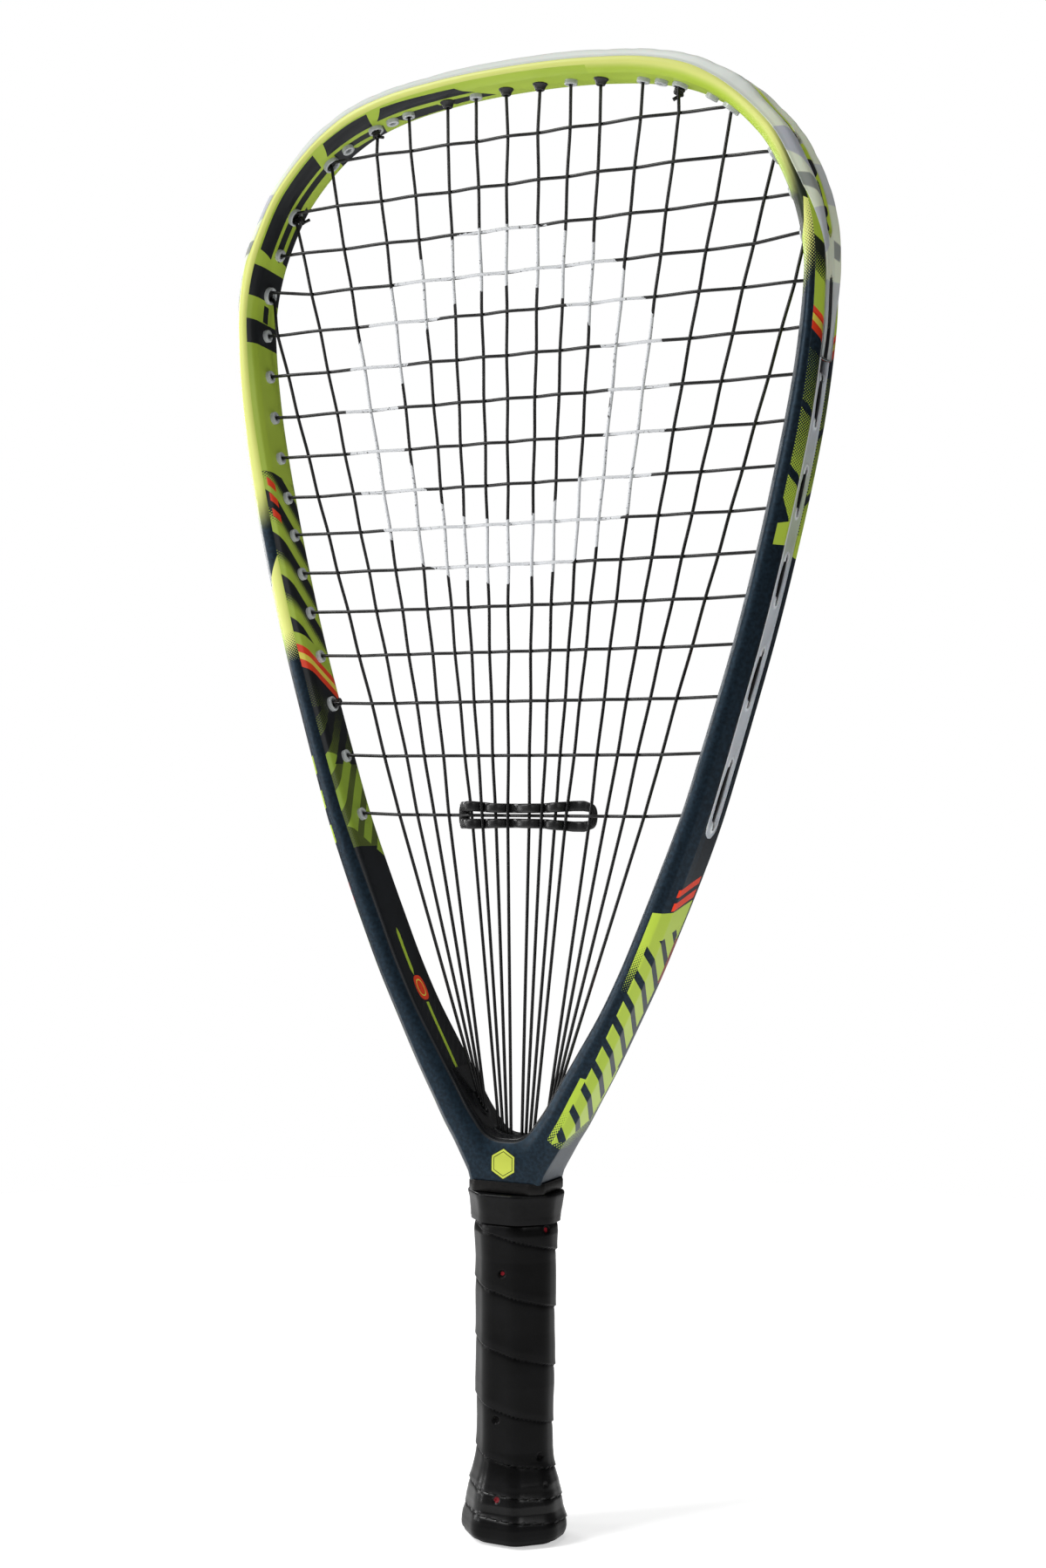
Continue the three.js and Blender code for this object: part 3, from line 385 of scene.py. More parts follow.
class Graph:
    def __init__(self, name):
        self.mat = bpy.data.materials.new(name)
        self.mat.use_nodes = True
        self.nodes, self.links = self.mat.node_tree.nodes, self.mat.node_tree.links
        self.bsdf = self.nodes["Principled BSDF"]
        tc = self.nodes.new("ShaderNodeTexCoord")
        self.obj = tc.outputs["Object"]
        sep = self.nodes.new("ShaderNodeSeparateXYZ")
        self.links.new(self.obj, sep.inputs[0])
        self.x, self.y, self.z = [V(self, sep.outputs[i]) * 1000.0 for i in range(3)]
        self._attr = {}

    def attr(self, name):
        if name not in self._attr:
            n = self.nodes.new("ShaderNodeAttribute")
            n.attribute_name = name
            self._attr[name] = V(self, n.outputs["Fac"])
        return self._attr[name]

    def vec(self, a, b, c=0.0):
        n = self.nodes.new("ShaderNodeCombineXYZ")
        for i, o in enumerate((a, b, c)):
            if isinstance(o, V):
                self.links.new(o.s, n.inputs[i])
            else:
                n.inputs[i].default_value = float(o)
        return n.outputs[0]

    def noise(self, scale, detail=2.0, rough=0.5, vector=None, distortion=0.0):
        n = self.nodes.new("ShaderNodeTexNoise")
        self.links.new(vector if vector is not None else self.obj, n.inputs["Vector"])
        n.inputs["Scale"].default_value = scale
        n.inputs["Detail"].default_value = detail
        n.inputs["Roughness"].default_value = rough
        n.inputs["Distortion"].default_value = distortion
        return V(self, n.outputs[0])

    def voronoi(self, scale, vector=None, feature="F1", out="Distance"):
        n = self.nodes.new("ShaderNodeTexVoronoi")
        n.feature = feature
        self.links.new(vector if vector is not None else self.obj, n.inputs["Vector"])
        n.inputs["Scale"].default_value = scale
        return n.outputs[out]

    def mix(self, fac, a, b):
        """Colour a where fac is 0, b where it is 1. Colours are RGB tuples or sockets."""
        n = self.nodes.new("ShaderNodeMix")
        n.data_type = "RGBA"
        if isinstance(fac, V):
            self.links.new(fac.s, n.inputs[0])
        else:
            n.inputs[0].default_value = fac
        for i, c in ((6, a), (7, b)):
            if isinstance(c, tuple):
                n.inputs[i].default_value = (*c, 1.0)
            else:
                self.links.new(c, n.inputs[i])
        return n.outputs[2]

    def bump(self, height, distance, strength=1.0, normal=None):
        n = self.nodes.new("ShaderNodeBump")
        n.inputs["Distance"].default_value = distance
        n.inputs["Strength"].default_value = strength
        self.links.new(height.s, n.inputs["Height"])
        if normal is not None:
            self.links.new(normal, n.inputs["Normal"])
        return n.outputs[0]

    def set(self, **values):
        names = {"color": "Base Color", "rough": "Roughness", "metal": "Metallic", "coat": "Coat Weight", "coat_rough": "Coat Roughness",
                 "normal": "Normal", "sheen": "Sheen Weight", "spec": "Specular IOR Level", "sss": "Subsurface Weight", "trans": "Transmission Weight",
                 "ior": "IOR", "alpha": "Alpha", "coat_normal": "Coat Normal", "emit": "Emission Strength"}
        for key, v in values.items():
            s = self.bsdf.inputs[names[key]]
            if isinstance(v, V):
                self.links.new(v.s, s)
            elif isinstance(v, bpy.types.NodeSocket):
                self.links.new(v, s)
            elif isinstance(v, tuple):
                s.default_value = (*v, 1.0) if len(v) == 3 and s.type == "RGBA" else v
            else:
                s.default_value = v
        return self

    # shapes in the plane of two coordinates p, q (mm): each is positive inside, in mm
    def line(self, p, q, a, b, c):
        """a*p + b*q + c"""
        n = self.nodes.new("ShaderNodeVectorMath")
        n.operation = "DOT_PRODUCT"
        self.links.new(self.vec_cached(p, q), n.inputs[0])
        n.inputs[1].default_value = (a, b, c)
        return V(self, n.outputs["Value"])

    def vec_cached(self, p, q):
        key = (id(p.s), id(q.s))
        if not hasattr(self, "_vc"):
            self._vc = {}
        if key not in self._vc:
            self._vc[key] = (self.vec(p, q, 1.0), p, q)
        return self._vc[key][0]

    def poly(self, p, q, points):
        """Convex polygon, any winding: distance inside, negative outside."""
        pts = np.array(points, float)
        area = 0.5 * sum(pts[i][0] * pts[(i + 1) % len(pts)][1] - pts[(i + 1) % len(pts)][0] * pts[i][1] for i in range(len(pts)))
        if area < 0:
            pts = pts[::-1]
        out = None
        for i in range(len(pts)):
            (x0, y0), (x1, y1) = pts[i], pts[(i + 1) % len(pts)]
            l = math.hypot(x1 - x0, y1 - y0)
            a, b = -(y1 - y0) / l, (x1 - x0) / l
            d = self.line(p, q, a, b, -(a * x0 + b * y0))
            out = d if out is None else out.min(d)
        return out

    def oval(self, p, q, cp, cq, rp, rq, power=2.0):
        d = (((p - cp).abs() / rp).power(power) + ((q - cq).abs() / rq).power(power))
        return (1.0 - d) * min(rp, rq) * 0.5

    def dots(self, p, q, pitch, share):
        """Halftone: 1 inside the dots. share (0 to 1) is the covered part, and may be a socket."""
        k = math.pi / pitch
        wave = ((p * k).sin() * (q * k).sin()) * 0.5 + 0.5
        return V(self, (wave + share).s) > 1.0


def srgb(r, g, b):
    """Linear colour of an sRGB triple given 0 to 255."""
    out = []
    for c in (r, g, b):
        c /= 255.0
        out.append(c / 12.92 if c <= 0.04045 else ((c + 0.055) / 1.055) ** 2.4)
    return tuple(out)


# ------------------------------------------------------------------ beam
def lean(a, v):
    """The outer face leans a little round the shoulders and down the sides: how far it stands out at depth v, mm."""
    front = -1.05 * smooth(70, 92, a) * (1 - smooth(124, 140, a))
    back = 0.35 * smooth(75, 100, a) * (1 - smooth(372, 410, a))
    return np.where(v < 0, front * np.clip(-v / 8.0, 0, 1.05), back * np.clip(v / 8.0, 0, 1.05))


def back_edge(a):
    """Half width of the groove on the back side: the strip lies nearer to the front down the sides."""
    return 6.3 - 1.75 * smooth(164, 183, a)


def half_section(w, groove, edge):
    """Half outline of the beam at stations w: list of (u, v, zone) arrays, from the inner wall's middle to the outer middle."""
    n = len(w.x)
    T, f, k = w.t, w.f, w.k
    g = np.clip((f - 0.6) / 0.24, 0, 1)

    def pt(u, v, q):
        return np.stack([np.broadcast_to(u, n), np.broadcast_to(v, n), np.full(n, q * 1e-3)], -1)
    u1, v1 = 2.7 * (1 - g) + 0.55 * g, 11.0 * (1 - g) + 10.35 * g
    um, vm = 0.9 * (1 - g) + 0.22 * g, 9.2 * (1 - g) + 10.0 * g
    u1 = np.minimum(u1, T * 0.3)
    u2, v2 = T - np.minimum(2.8, 0.3 * T), (0.966 + 0.03 * k) * B
    fB = np.minimum(f * B, vm - 0.15)
    pts = [pt(0, 0, 0.0), pt(0, fB * 0.35, 0.35), pt(0, fB * 0.7, 0.7), pt(0, fB, 1.0), pt(um, vm, 1.5), pt(u1, v1, 2.0)]
    rad = [0, 0, 0, 0.9, 0.6, 0.4]
    half = (u2 - u1) / 2
    for i in range(1, 8):
        c = i / 8
        u = u1 + (u2 - u1) * c
        v = B - (B - v1) * np.clip(1 - (u - u1) / half, 0, 1) ** 2 - (B - v2) * np.clip(1 - (u2 - u) / half, 0, 1) ** 2
        pts.append(pt(u, v, 2 + c))
        rad.append(0)
    vo = (0.69 + 0.27 * k) * B
    pts += [pt(u2, v2, 3.0), pt((u2 + T) / 2, (v2 + vo) / 2 + 0.12, 3.5), pt(T, vo, 4.0)]
    rad += [0.35, 0, 0.5]
    d = np.where(groove, GROOVE, 0.0)
    pts += [pt(T, edge + 0.15, 4.4), pt(T - d, edge, 4.6), pt(T - d, 3.0, 4.8), pt(T - d, 0, 5.0)]
    rad += [0, 0, 0, 0]
    return fillet(pts, rad, 3)


def make_frame():
    edge = S_STRIP_END - 3.5
    right = np.concatenate([np.arange(0, edge - 0.8, 1.6), [edge - 0.01, edge + 0.01], np.arange(edge + 1.6, S_END - 0.8, 1.6), [S_END]])
    s = np.concatenate([-right[::-1], right[1:-1]])
    w = Wall(s)
    half = half_section(w, np.abs(s) < edge, np.full(len(s), 6.3))
    rear = half_section(w, np.abs(s) < edge, back_edge(np.abs(s)))
    ring = np.stack([p * np.array([1, -1, 1]) for p in half] + [p for p in rear[::-1][1:-1]], 1)   # front side first
    u, v, q = ring[..., 0], ring[..., 1], ring[..., 2] * 1e3
    N, M = u.shape
    m = len(half)
    # the print is laid out as if the groove were not there
    seg = np.hypot(np.where(np.minimum(q[:, 1:], q[:, :-1]) > 4.35, 0, np.diff(u, axis=1)), np.diff(v, axis=1))
    u = u + lean(np.abs(s)[:, None], v) * smooth(2.1, 3.0, q)
    P = np.stack([w.x[:, None] + w.nx[:, None] * u, v, w.z[:, None] + w.nz[:, None] * u], -1)
    run = np.concatenate([np.zeros((N, 1)), np.cumsum(seg, 1)], 1)
    per = run - run[:, m - 1:m]
    faces = grid_faces(N, M, close_rows=True)
    faces = fix(P.reshape(-1, 3), faces)
    body = (P.reshape(-1, 3), faces, {"arc": np.repeat(np.abs(s), M), "zone": q.reshape(-1), "per": per.reshape(-1), "uu": u.reshape(-1), "uf": (u / w.t[:, None]).reshape(-1)})
    return body


def octagon(hx, hy, c, r=0.0, n=4):
    """Octagon outline with rounded corners as (x, y) points, counter-clockwise from the lower left."""
    pts = np.array([[-hx, -hy + c], [-hx + c, -hy], [hx - c, -hy], [hx, -hy + c], [hx, hy - c], [hx - c, hy], [-hx + c, hy], [-hx, hy - c]])
    if not r:
        return pts
    out = []
    for i in range(8):
        p = pts[i]
        a, b = pts[i - 1] - p, pts[(i + 1) % 8] - p
        la, lb = np.hypot(*a), np.hypot(*b)
        p0, p1 = p + a / la * min(r, la * 0.45), p + b / lb * min(r, lb * 0.45)
        for k in range(n + 1):
            t = k / n
            out.append((1 - t) ** 2 * p0 + 2 * t * (1 - t) * p + t * t * p1)
    return np.array(out)


def handle_oct(d, r=2.0, n=4):
    """Grip octagon shrunk by d."""
    return octagon(14.7 - d, 12.5 - d, 8.3 - 0.59 * d, r, n)


def loft(pile, rings, material=0, cap=(True, True), **attributes):
    rings = [np.asarray(r, float) for r in rings]
    n = len(rings[0])
    V_ = np.vstack(rings)
    F = grid_faces(len(rings), n)
    if cap[0]:
        F.append(list(range(n))[::-1])
    if cap[1]:
        F.append(list(range((len(rings) - 1) * n, len(rings) * n)))
    pile.add(V_, F, material, **attributes)


def level(outline, z):
    return np.column_stack([outline, np.full(len(outline), z)])


def build_frame():
    P, faces, attributes = make_frame()
    pile = Pile()
    pile.add(P, faces, 0, **attributes)
    # the print of the inner wall takes in its rounded edges on the left side, where the design runs over them
    qz, side_x = attributes["zone"], P[:, 0]
    first = len(faces)
    for k, f in enumerate(pile.f[:first]):
        m = qz[f].max()
        if m < 1.02 or (m < 2.0 and side_x[f].mean() < 30):
            pile.m[k] = 1
    far = {"arc": 600.0, "zone": 2.5, "per": -20.0, "uu": 5.0, "uf": 0.5}
    loft(pile, [level(octagon(9, 6.8, 2.2, 0.6), 12), level(octagon(9, 6.8, 2.2, 0.6), 123), level(octagon(12.2, 9.2, 5.2, 0.6), 127.5),
                level(octagon(13.5, 10.4, 6.2, 0.6), 130.7), level(octagon(14.3, 10.8, 4.4, 0.6), 132), level(octagon(14.2, 10.6, 3.4, 0.6), 138)], 0, **far)
    ob = pile.done("frame_beam", [MAT["frame"], MAT["print"]], sharp=38)
    finish_piece(ob, "frame", slot="frame_paint")


# ------------------------------------------------------------------ string paths
def inner(h, y, u=-1.6, ds=0.0):
    """Point on the string's way through hole h; ds moves it round the hoop within the hole, away from the tip."""
    w = Wall(HOLES[h][0] + (ds if HOLES[h][0] > 0 else -ds))
    return w.at(u, y)


def out_u(w):
    """Depth of a string's middle on the outside: on the guard's floor round the head, sunk into the strips down the sides."""
    a = np.abs(w.s)
    return w.t - 0.08 - 0.3 * smooth(88, 104, a) - 0.5 * smooth(86, 94, a) * (1 - smooth(144, 152, a)) - 0.37 * smooth(S_JOINT - 5, S_JOINT + 3, a)


def outer_run(a, ya, b, yb, overs=()):
    keys = [(HOLES[a][0], ya)] + [(HOLES[k][0], y) for k, y in overs] + [(HOLES[b][0], yb)]
    s, y = [], []
    for (s0, y0), (s1, y1) in zip(keys[:-1], keys[1:]):
        n = max(2, int(abs(s1 - s0) / 2.0) + 1)
        c = np.arange(0 if not s else 1, n + 1) / n
        s += list(s0 + (s1 - s0) * c)
        y += list(y0 + (y1 - y0) * c)
    w, y = Wall(np.array(s)), np.array(y)
    a = np.abs(w.s)
    # the back string of the two round the shoulders lies deeper
    return list(w.at(out_u(w) - 0.9 * smooth(0.2, 1.0, y) * smooth(88, 96, a) * (1 - smooth(143, 150, a)), y))


def smooth_mains():
    """Each main follows one slow curve down the bed."""
    out = []
    for p in range(8):
        rows = [j for j in range(16) if MAIN_X[j][p] is not None]
        z = np.array([CROSS_Z[j] for j in rows])
        c = np.polyfit((z - 400) / 100, [MAIN_X[j][p] for j in rows], 4)
        out.append([float(np.polyval(c, (CROSS_Z[j] - 400) / 100)) if j in rows else None for j in range(16)])
    return out


MAIN_FIT = smooth_mains()


def main_x(i, j):
    p = i - 1 if i <= 8 else 16 - i
    v = MAIN_FIT[p][j - 1]
    return None if v is None else (-v if i <= 8 else v)


def over(i, j):
    return (i + j) % 2 == 0


FIRST = [5, 3, 2, 1, 1, 1, 1, 1]
TOP_LANE = {1: LANE, 4: 0.85, 13: -0.85, 16: LANE}


def first_cross(i):
    return FIRST[i - 1 if i <= 8 else 16 - i]


def top_hole(i):
    return ("LT%d" % i) if i <= 8 else ("RT%d" % (17 - i))


def foot_points(i):
    p, side = (i - 1, -1) if i <= 8 else (16 - i, 1)
    x, z = FOOT[p]
    if p < 4:
        n = np.array([side * 0.84, 0, -0.54])
        c = np.array([side * x, 0, z])
        return [c - n * 1.3, c + n * 3.9]
    return [np.array([side * x, 0, z + 1.3]), np.array([side * x, 0, 146.0])]


def weave(points):
    """Smooth way through crossings: straight in the bed's plane, a soft wave through its depth."""
    out = [points[0]]
    for a, b in zip(points[:-1], points[1:]):
        L = np.linalg.norm(b - a)
        n = max(2, int(L / 2.2))
        for k in range(1, n + 1):
            t = k / n
            p = a + (b - a) * t
            p[1] = a[1] + (b[1] - a[1]) * (0.5 - 0.5 * math.cos(math.pi * t))
            out.append(p)
    return out


def main_down(i):
    pts = [inner(top_hole(i), TOP_LANE.get(i, 0.0), ds={1: 1.0, 2: 1.0, 3: 0.7, 14: 0.7, 15: 1.0, 16: 1.0}.get(i, 0.0))]
    for j in range(first_cross(i), 17):
        pts.append(np.array([main_x(i, j), -MAIN_WAVE if over(i, j) else MAIN_WAVE, CROSS_Z[j - 1]]))
    return weave(pts + foot_points(i))


def cross_hole(j, side):
    return side + {1: "T3", 2: "T2", 3: "C3", 4: "T1"}.get(j, "C%d" % j)


def cross_lane(j, side):
    return -LANE if j in (1, 2, 4) else -0.85 if (j == 14 and side == "L") else 0.0


def cross_row(j):
    ds = {1: -1.7, 2: -1.9, 4: -1.2}.get(j, 0.0)
    pts = [inner(cross_hole(j, "L"), cross_lane(j, "L"), ds=ds)]
    for i in range(1, 17):
        if j >= first_cross(i):
            pts.append(np.array([main_x(i, j), CROSS_WAVE if over(i, j) else -CROSS_WAVE, CROSS_Z[j - 1]]))
    pts.append(inner(cross_hole(j, "R"), cross_lane(j, "R"), ds=ds))
    return weave(pts)


def soften(points, r=0.9):
    """Corners of a path rounded."""
    P = np.array(points)
    keep = np.concatenate([[True], np.linalg.norm(np.diff(P, axis=0), axis=1) > 0.02])
    P = P[keep]
    out = [P[0]]
    for i in range(1, len(P) - 1):
        a, b = P[i - 1] - P[i], P[i + 1] - P[i]
        la, lb = np.linalg.norm(a), np.linalg.norm(b)
        if np.dot(a, b) / (la * lb) < -0.9:
            out.append(P[i])
            continue
        q = min(r, la * 0.45, lb * 0.45)
        p0, p1 = P[i] + a / la * q, P[i] + b / lb * q
        out += [(1 - t) ** 2 * p0 + 2 * t * (1 - t) * P[i] + t * t * p1 for t in (0, 0.33, 0.67, 1)]
    out.append(P[-1])
    return out


def knot(pile, hole_name, lane, turn, sides=10, size=1.0, tail=None):
    """Half hitch with a cut tail, sitting on the grommet of its hole."""
    w = Wall(HOLES[hole_name][0])
    base = w.at(-1.9, lane)
    n = -np.array([w.nx, 0, w.nz])
    t = np.array([-w.nz, 0, w.nx])
    y = np.array([0, 1.0, 0])
    pts = []
    for k in range(41):
        c = k / 40
        a = c * 2 * math.pi * 2.15 + turn
        r = (0.95 + 0.16 * math.sin(c * math.pi * 3)) * size
        pts.append(base + n * (0.1 + 1.75 * c) + (t * math.cos(a) + y * math.sin(a)) * r)
    d = pts[-1] - pts[-2]
    d /= np.linalg.norm(d)
    if tail is not None:
        d = np.array(tail, float)
        n = n * 0.1
    for k in range(1, 6 if tail is None else 9):
        pts.append(pts[-1] + d * 0.45 + n * 0.24)
    V_, F = tube(pts, 0.62 * (0.5 + 0.5 * size), sides)
    pile.add(V_, F, 0)
    n = -np.array([w.nx, 0, w.nz])
    V_, F = tube([base - n * 2.0, base + n * 2.2], 0.62, sides)
    pile.add(V_, F, 0)


def build_strings():
    path = [inner("LT2", LANE, -2.0), inner("LT2", LANE, 0)]
    path += outer_run("LT2", LANE, "LT1", LANE, [("LC3", LANE)])
    for i in range(1, 17, 2):
        path += main_down(i) + main_down(i + 1)[::-1]
        if i < 15:
            path += outer_run(top_hole(i + 1), TOP_LANE.get(i + 1, 0.0), top_hole(i + 2), TOP_LANE.get(i + 2, 0.0))
    path += outer_run("RT1", LANE, "RT4", 0.85, [("RC3", LANE), ("RT2", LANE), ("RT3", LANE), ("RE1", LANE)])
    path += [inner("RT4", 0.85, 0), inner("RT4", 0.85, -2.0)]
    pile = Pile()
    V_, F = tube(soften(path), STRING_R, 10)
    pile.add(V_, F, 0)
    knot(pile, "LT2", LANE, 0.4)
    knot(pile, "RT4", 0.85, 2.2, size=1.35, tail=(-0.85, -0.2, -0.4))
    ob = pile.done("main_string_woven", [MAT["string"]])
    finish_piece(ob, "main_string", slot="string")
    path = [inner("LT4", -0.85, -2.0), inner("LT4", -0.85, 0)] + outer_run("LT4", -0.85, "LT3", -LANE, [("LE1", -LANE)])
    for j in range(1, 17):
        row = cross_row(j)
        path += row if j % 2 else row[::-1]
        side = "R" if j % 2 else "L"
        if j < 16:
            path += outer_run(cross_hole(j, side), cross_lane(j, side), cross_hole(j + 1, side), cross_lane(j + 1, side))
    path += outer_run("LC16", 0, "LC14", 0.85, [("LC15", LANE)]) + [inner("LC14", 0.85, 0), inner("LC14", 0.85, -2.0)]
    pile = Pile()
    V_, F = tube(soften(path), STRING_R, 10)
    pile.add(V_, F, 0)
    knot(pile, "LT4", -0.85, 1.1)
    knot(pile, "LC14", 0.85, 3.0)
    ob = pile.done("cross_string_woven", [MAT["string"]])
    finish_piece(ob, "cross_string", slot="string")


# ------------------------------------------------------------------ bumper, strips and grommets
def segments():
    """Outer runs of the strings in (s, y): start, end."""
    runs = []
    for i in range(2, 16, 2):
        runs.append((HOLES[top_hole(i)][0], TOP_LANE.get(i, 0.0), HOLES[top_hole(i + 1)][0], TOP_LANE.get(i + 1, 0.0)))
    for j in range(1, 16):
        side = "R" if j % 2 else "L"
        a, b = cross_hole(j, side), cross_hole(j + 1, side)
        runs.append((HOLES[a][0], cross_lane(j, side), HOLES[b][0], cross_lane(j + 1, side)))
    return runs


RUNS = segments()
WIDE = [(HOLES["LT4"][0], -108.5, 2.9), (-118.0, HOLES["LT1"][0], 2.9), (HOLES["RT4"][0], 108.5, 2.9), (118.0, HOLES["RT1"][0], 2.9),
        (-166.0, -197.0, 2.0), (166.0, 197.0, 2.0), (HOLES["LC16"][0], HOLES["LC14"][0], 2.0)]


def stadium(S, Y, s0, y0, s1, y1):
    """Distance from the points (S, Y) to a segment."""
    dx, dy = s1 - s0, y1 - y0
    k = np.clip(((S - s0) * dx + (Y - y0) * dy) / (dx * dx + dy * dy), 0, 1)
    return np.hypot(S - s0 - dx * k, Y - y0 - dy * k), k


def relief(S, Y):
    """Channel share (0 on top, 1 on the channel's floor), recess share round a string, boss share round a hole, hole share."""
    chan, rec, boss, bore = np.zeros_like(S), np.zeros_like(S), np.zeros_like(S), np.zeros_like(S)
    for s0, y0, s1, y1 in RUNS:
        if abs(s0 - s1) < 1:
            continue
        near = (S > min(s0, s1) - 6) & (S < max(s0, s1) + 6)
        d, along = stadium(S[near], Y[near], s0, y0, s1, y1)
        chan[near] = np.maximum(chan[near], 1 - smooth(0.86, 1.08, d))
        # a lens round the string: widest half way between its two holes
        wide = 1.1 + 1.25 * np.sin(np.pi * along)
        rec[near] = np.maximum(rec[near], 1 - smooth(wide - 0.1, wide + 0.35, d))
    for a, b, most in WIDE:
        lo, hi = min(a, b), max(a, b)
        near = (S > lo - 6) & (S < hi + 6)
        x = S[near]
        # the slit narrows to a point where fewer strings run in it
        half = most * np.clip(1 - np.clip((lo - x) / 3.2, 0, 1) ** 2 - np.clip((x - hi) / 3.2, 0, 1) ** 2, 0, 1)
        chan[near] = np.maximum(chan[near], 1 - smooth(half - 0.14, half + 0.1, np.abs(Y[near])))
        rec[near] = np.maximum(rec[near], 1 - smooth(3.2, 3.8, stadium(x, Y[near], lo, 0, hi, 0)[0]))
    for key, (sh, kind) in HOLES.items():
        near = np.abs(S - sh) < 5
        d = np.hypot(S[near] - sh, Y[near])
        r = BORE[kind]
        boss[near] = np.maximum(boss[near], 1 - smooth(r + 0.95, r + 1.25, d))
        bore[near] = np.maximum(bore[near], 1 - smooth(r - 0.1, r + 0.08, d))
    return chan, rec, boss, bore


def fine_stations(s0, s1, step):
    n = int(abs(s1 - s0) / step) + 1
    return np.linspace(s0, s1, n)


def band(name, nodes, s0, s1, kind, material, slot):
    s = fine_stations(s0, s1, 0.62)
    w = Wall(s)
    T = w.t
    n = len(s)
    a = np.abs(s)
    if kind == "bumper":
        k = np.clip((S_JOINT - a) / 45, 0, 1)
        k = k * k * (3 - 2 * k) * 0.35 + k * 0.65
        lip = np.clip((166 - a) / 32, 0.0, 1)
        lip = lip * lip * (3 - 2 * lip) * 0.3 + lip * 0.7
        proud = 1.9 * k - 0.65 * k * smooth(84, 104, a) + 0.25 - 0.5 * smooth(168, 190, a) - 0.5 * smooth(20, 45, a) * (1 - smooth(75, 95, a))
        # the worn outer edge rises and falls a little between the string holes
        scallop = 0.16 * k * np.where(a > 30, np.cos(a * 2 * np.pi / 10.5), 0.35 * np.cos(a * 2 * np.pi / 14.0)) * np.clip((150 - a) / 30, 0, 1)
        proud = proud + np.minimum(scallop, 0.0)
    else:
        k = np.zeros(n)
        lip = np.full(n, 0.0)
    lip_b = np.clip((173 - a) / 31, 0.0, 1)
    lip_b = (lip_b * lip_b * (3 - 2 * lip_b) * 0.3 + lip_b * 0.7) * (kind == "bumper")
    at_end = smooth(S_STRIP_END - 7.5, S_STRIP_END - 4, a)
    deep = smooth(88, 104, a) * (1 - smooth(S_JOINT - 12, S_JOINT, a)) if kind == "bumper" else np.zeros(n)
    slope = np.minimum(2.8, T * 0.3) / 3.2
    if kind == "strip":
        proud = -0.45 + 0.6 * at_end
    # cross profile: underside, side, lip, top
    ys = np.concatenate([np.arange(0, 3.41, 0.17), [3.8, 4.3, 4.9, 5.5, 5.9]])

    def outline(lip):
        """Half outline from the underside's middle to the side, then the top back to the middle."""
        rows_u, rows_v, rows_top = [], [], []

        def add(u, v, top=0.0):
            rows_u.append(np.broadcast_to(u, n).astype(float))
            rows_v.append(np.broadcast_to(v, n).astype(float))
            rows_top.append(np.broadcast_to(top, n).astype(float))
        end = 6.0 + 5.35 * lip
        u_end = T + 0.25 - np.maximum(0, end - 8.0) * slope * 1.06
        sunk = 1.3 + 0.75 * deep if kind == "bumper" else 1.85
        add(T - sunk, 0.0)
        add(T - sunk, 5.6)
        add(T - sunk + 0.15, 6.0 if kind == "bumper" else 5.8)
        if kind == "bumper":
            # the lip lies on the beam's bevel down to the edge of the crown
            add(T - 0.12, 6.02)
            add(T - 0.12, np.minimum(7.9, end - 0.15))
            add(u_end - 0.4, end - 0.12)
            add(u_end - 0.1, end + 0.05 * lip)
            add(u_end + 0.08, end + 0.06 * lip)
            tip_u = u_end + 0.24
            add(tip_u, end - 0.05)
            sh_v = 6.0 + 0.9 * lip
            for c in (0.15, 0.3, 0.45, 0.6, 0.75, 0.88):
                v = end + (sh_v - end) * c
                arc = (T + proud) - (T + proud - tip_u) * (1 - c) ** 1.45
                add(arc, v)
            add(T + proud - 0.02, sh_v, 1.0)
        else:
            rim = 0.2 * at_end
            add(T - 0.3 + rim, 6.15)
            add(T - 0.08 + rim, 6.05)
            add(T + rim, 5.8)
            add(T + rim, 5.3)
            add(T - 0.1 + rim, 4.95)
            add(T + np.maximum(proud, -0.36), 4.7)
            add(T + proud, 4.5, 1.0)
        for v in ys[::-1]:
            if v < 4.4 or kind == "bumper":
                add(T + proud, v, 1.0)
        return np.stack(rows_u, 1), np.stack(rows_v, 1), np.stack(rows_top, 1)
    U, Vv, top = outline(lip)
    Ub, Vb, top_b = outline(lip_b)
    # the back half draws in towards the joint and down the sides
    k_in = (back_edge(a) / 6.3)[:, None]
    Vb = np.where(Vb > 2.3, 2.3 + (Vb - 2.3) * (6.3 * k_in - 2.3) / 4.0, Vb)
    # both halves: front side first (v negative), back side returns; the underside's and the top's middle are shared
    U2 = np.concatenate([U, Ub[:, ::-1][:, 1:-1]], 1)
    V2 = np.concatenate([-Vv, Vb[:, ::-1][:, 1:-1]], 1)
    T2 = np.concatenate([top, top_b[:, ::-1][:, 1:-1]], 1)
    S2 = np.broadcast_to(s[:, None], U2.shape)
    if kind == "strip":
        # the free end is rounded
        d = np.abs(np.abs(s) - S_STRIP_END)
        V2 = V2 * np.sqrt(np.clip(1 - (1 - np.clip(d / 5.0, 0.03, 1)) ** 2, 0, 1))[:, None]
    chan, rec, boss, bore = relief(S2, V2)
    Tw = T[:, None]
    pr = proud[:, None]
    flat = T2 > 0.5
    depth_rec = 0.85 if kind != "bumper" else 0.0
    h = U2.copy()
    floor = Tw - (0.8 + 0.65 * deep[:, None] if kind == "bumper" else 1.6)
    if kind == "bumper":
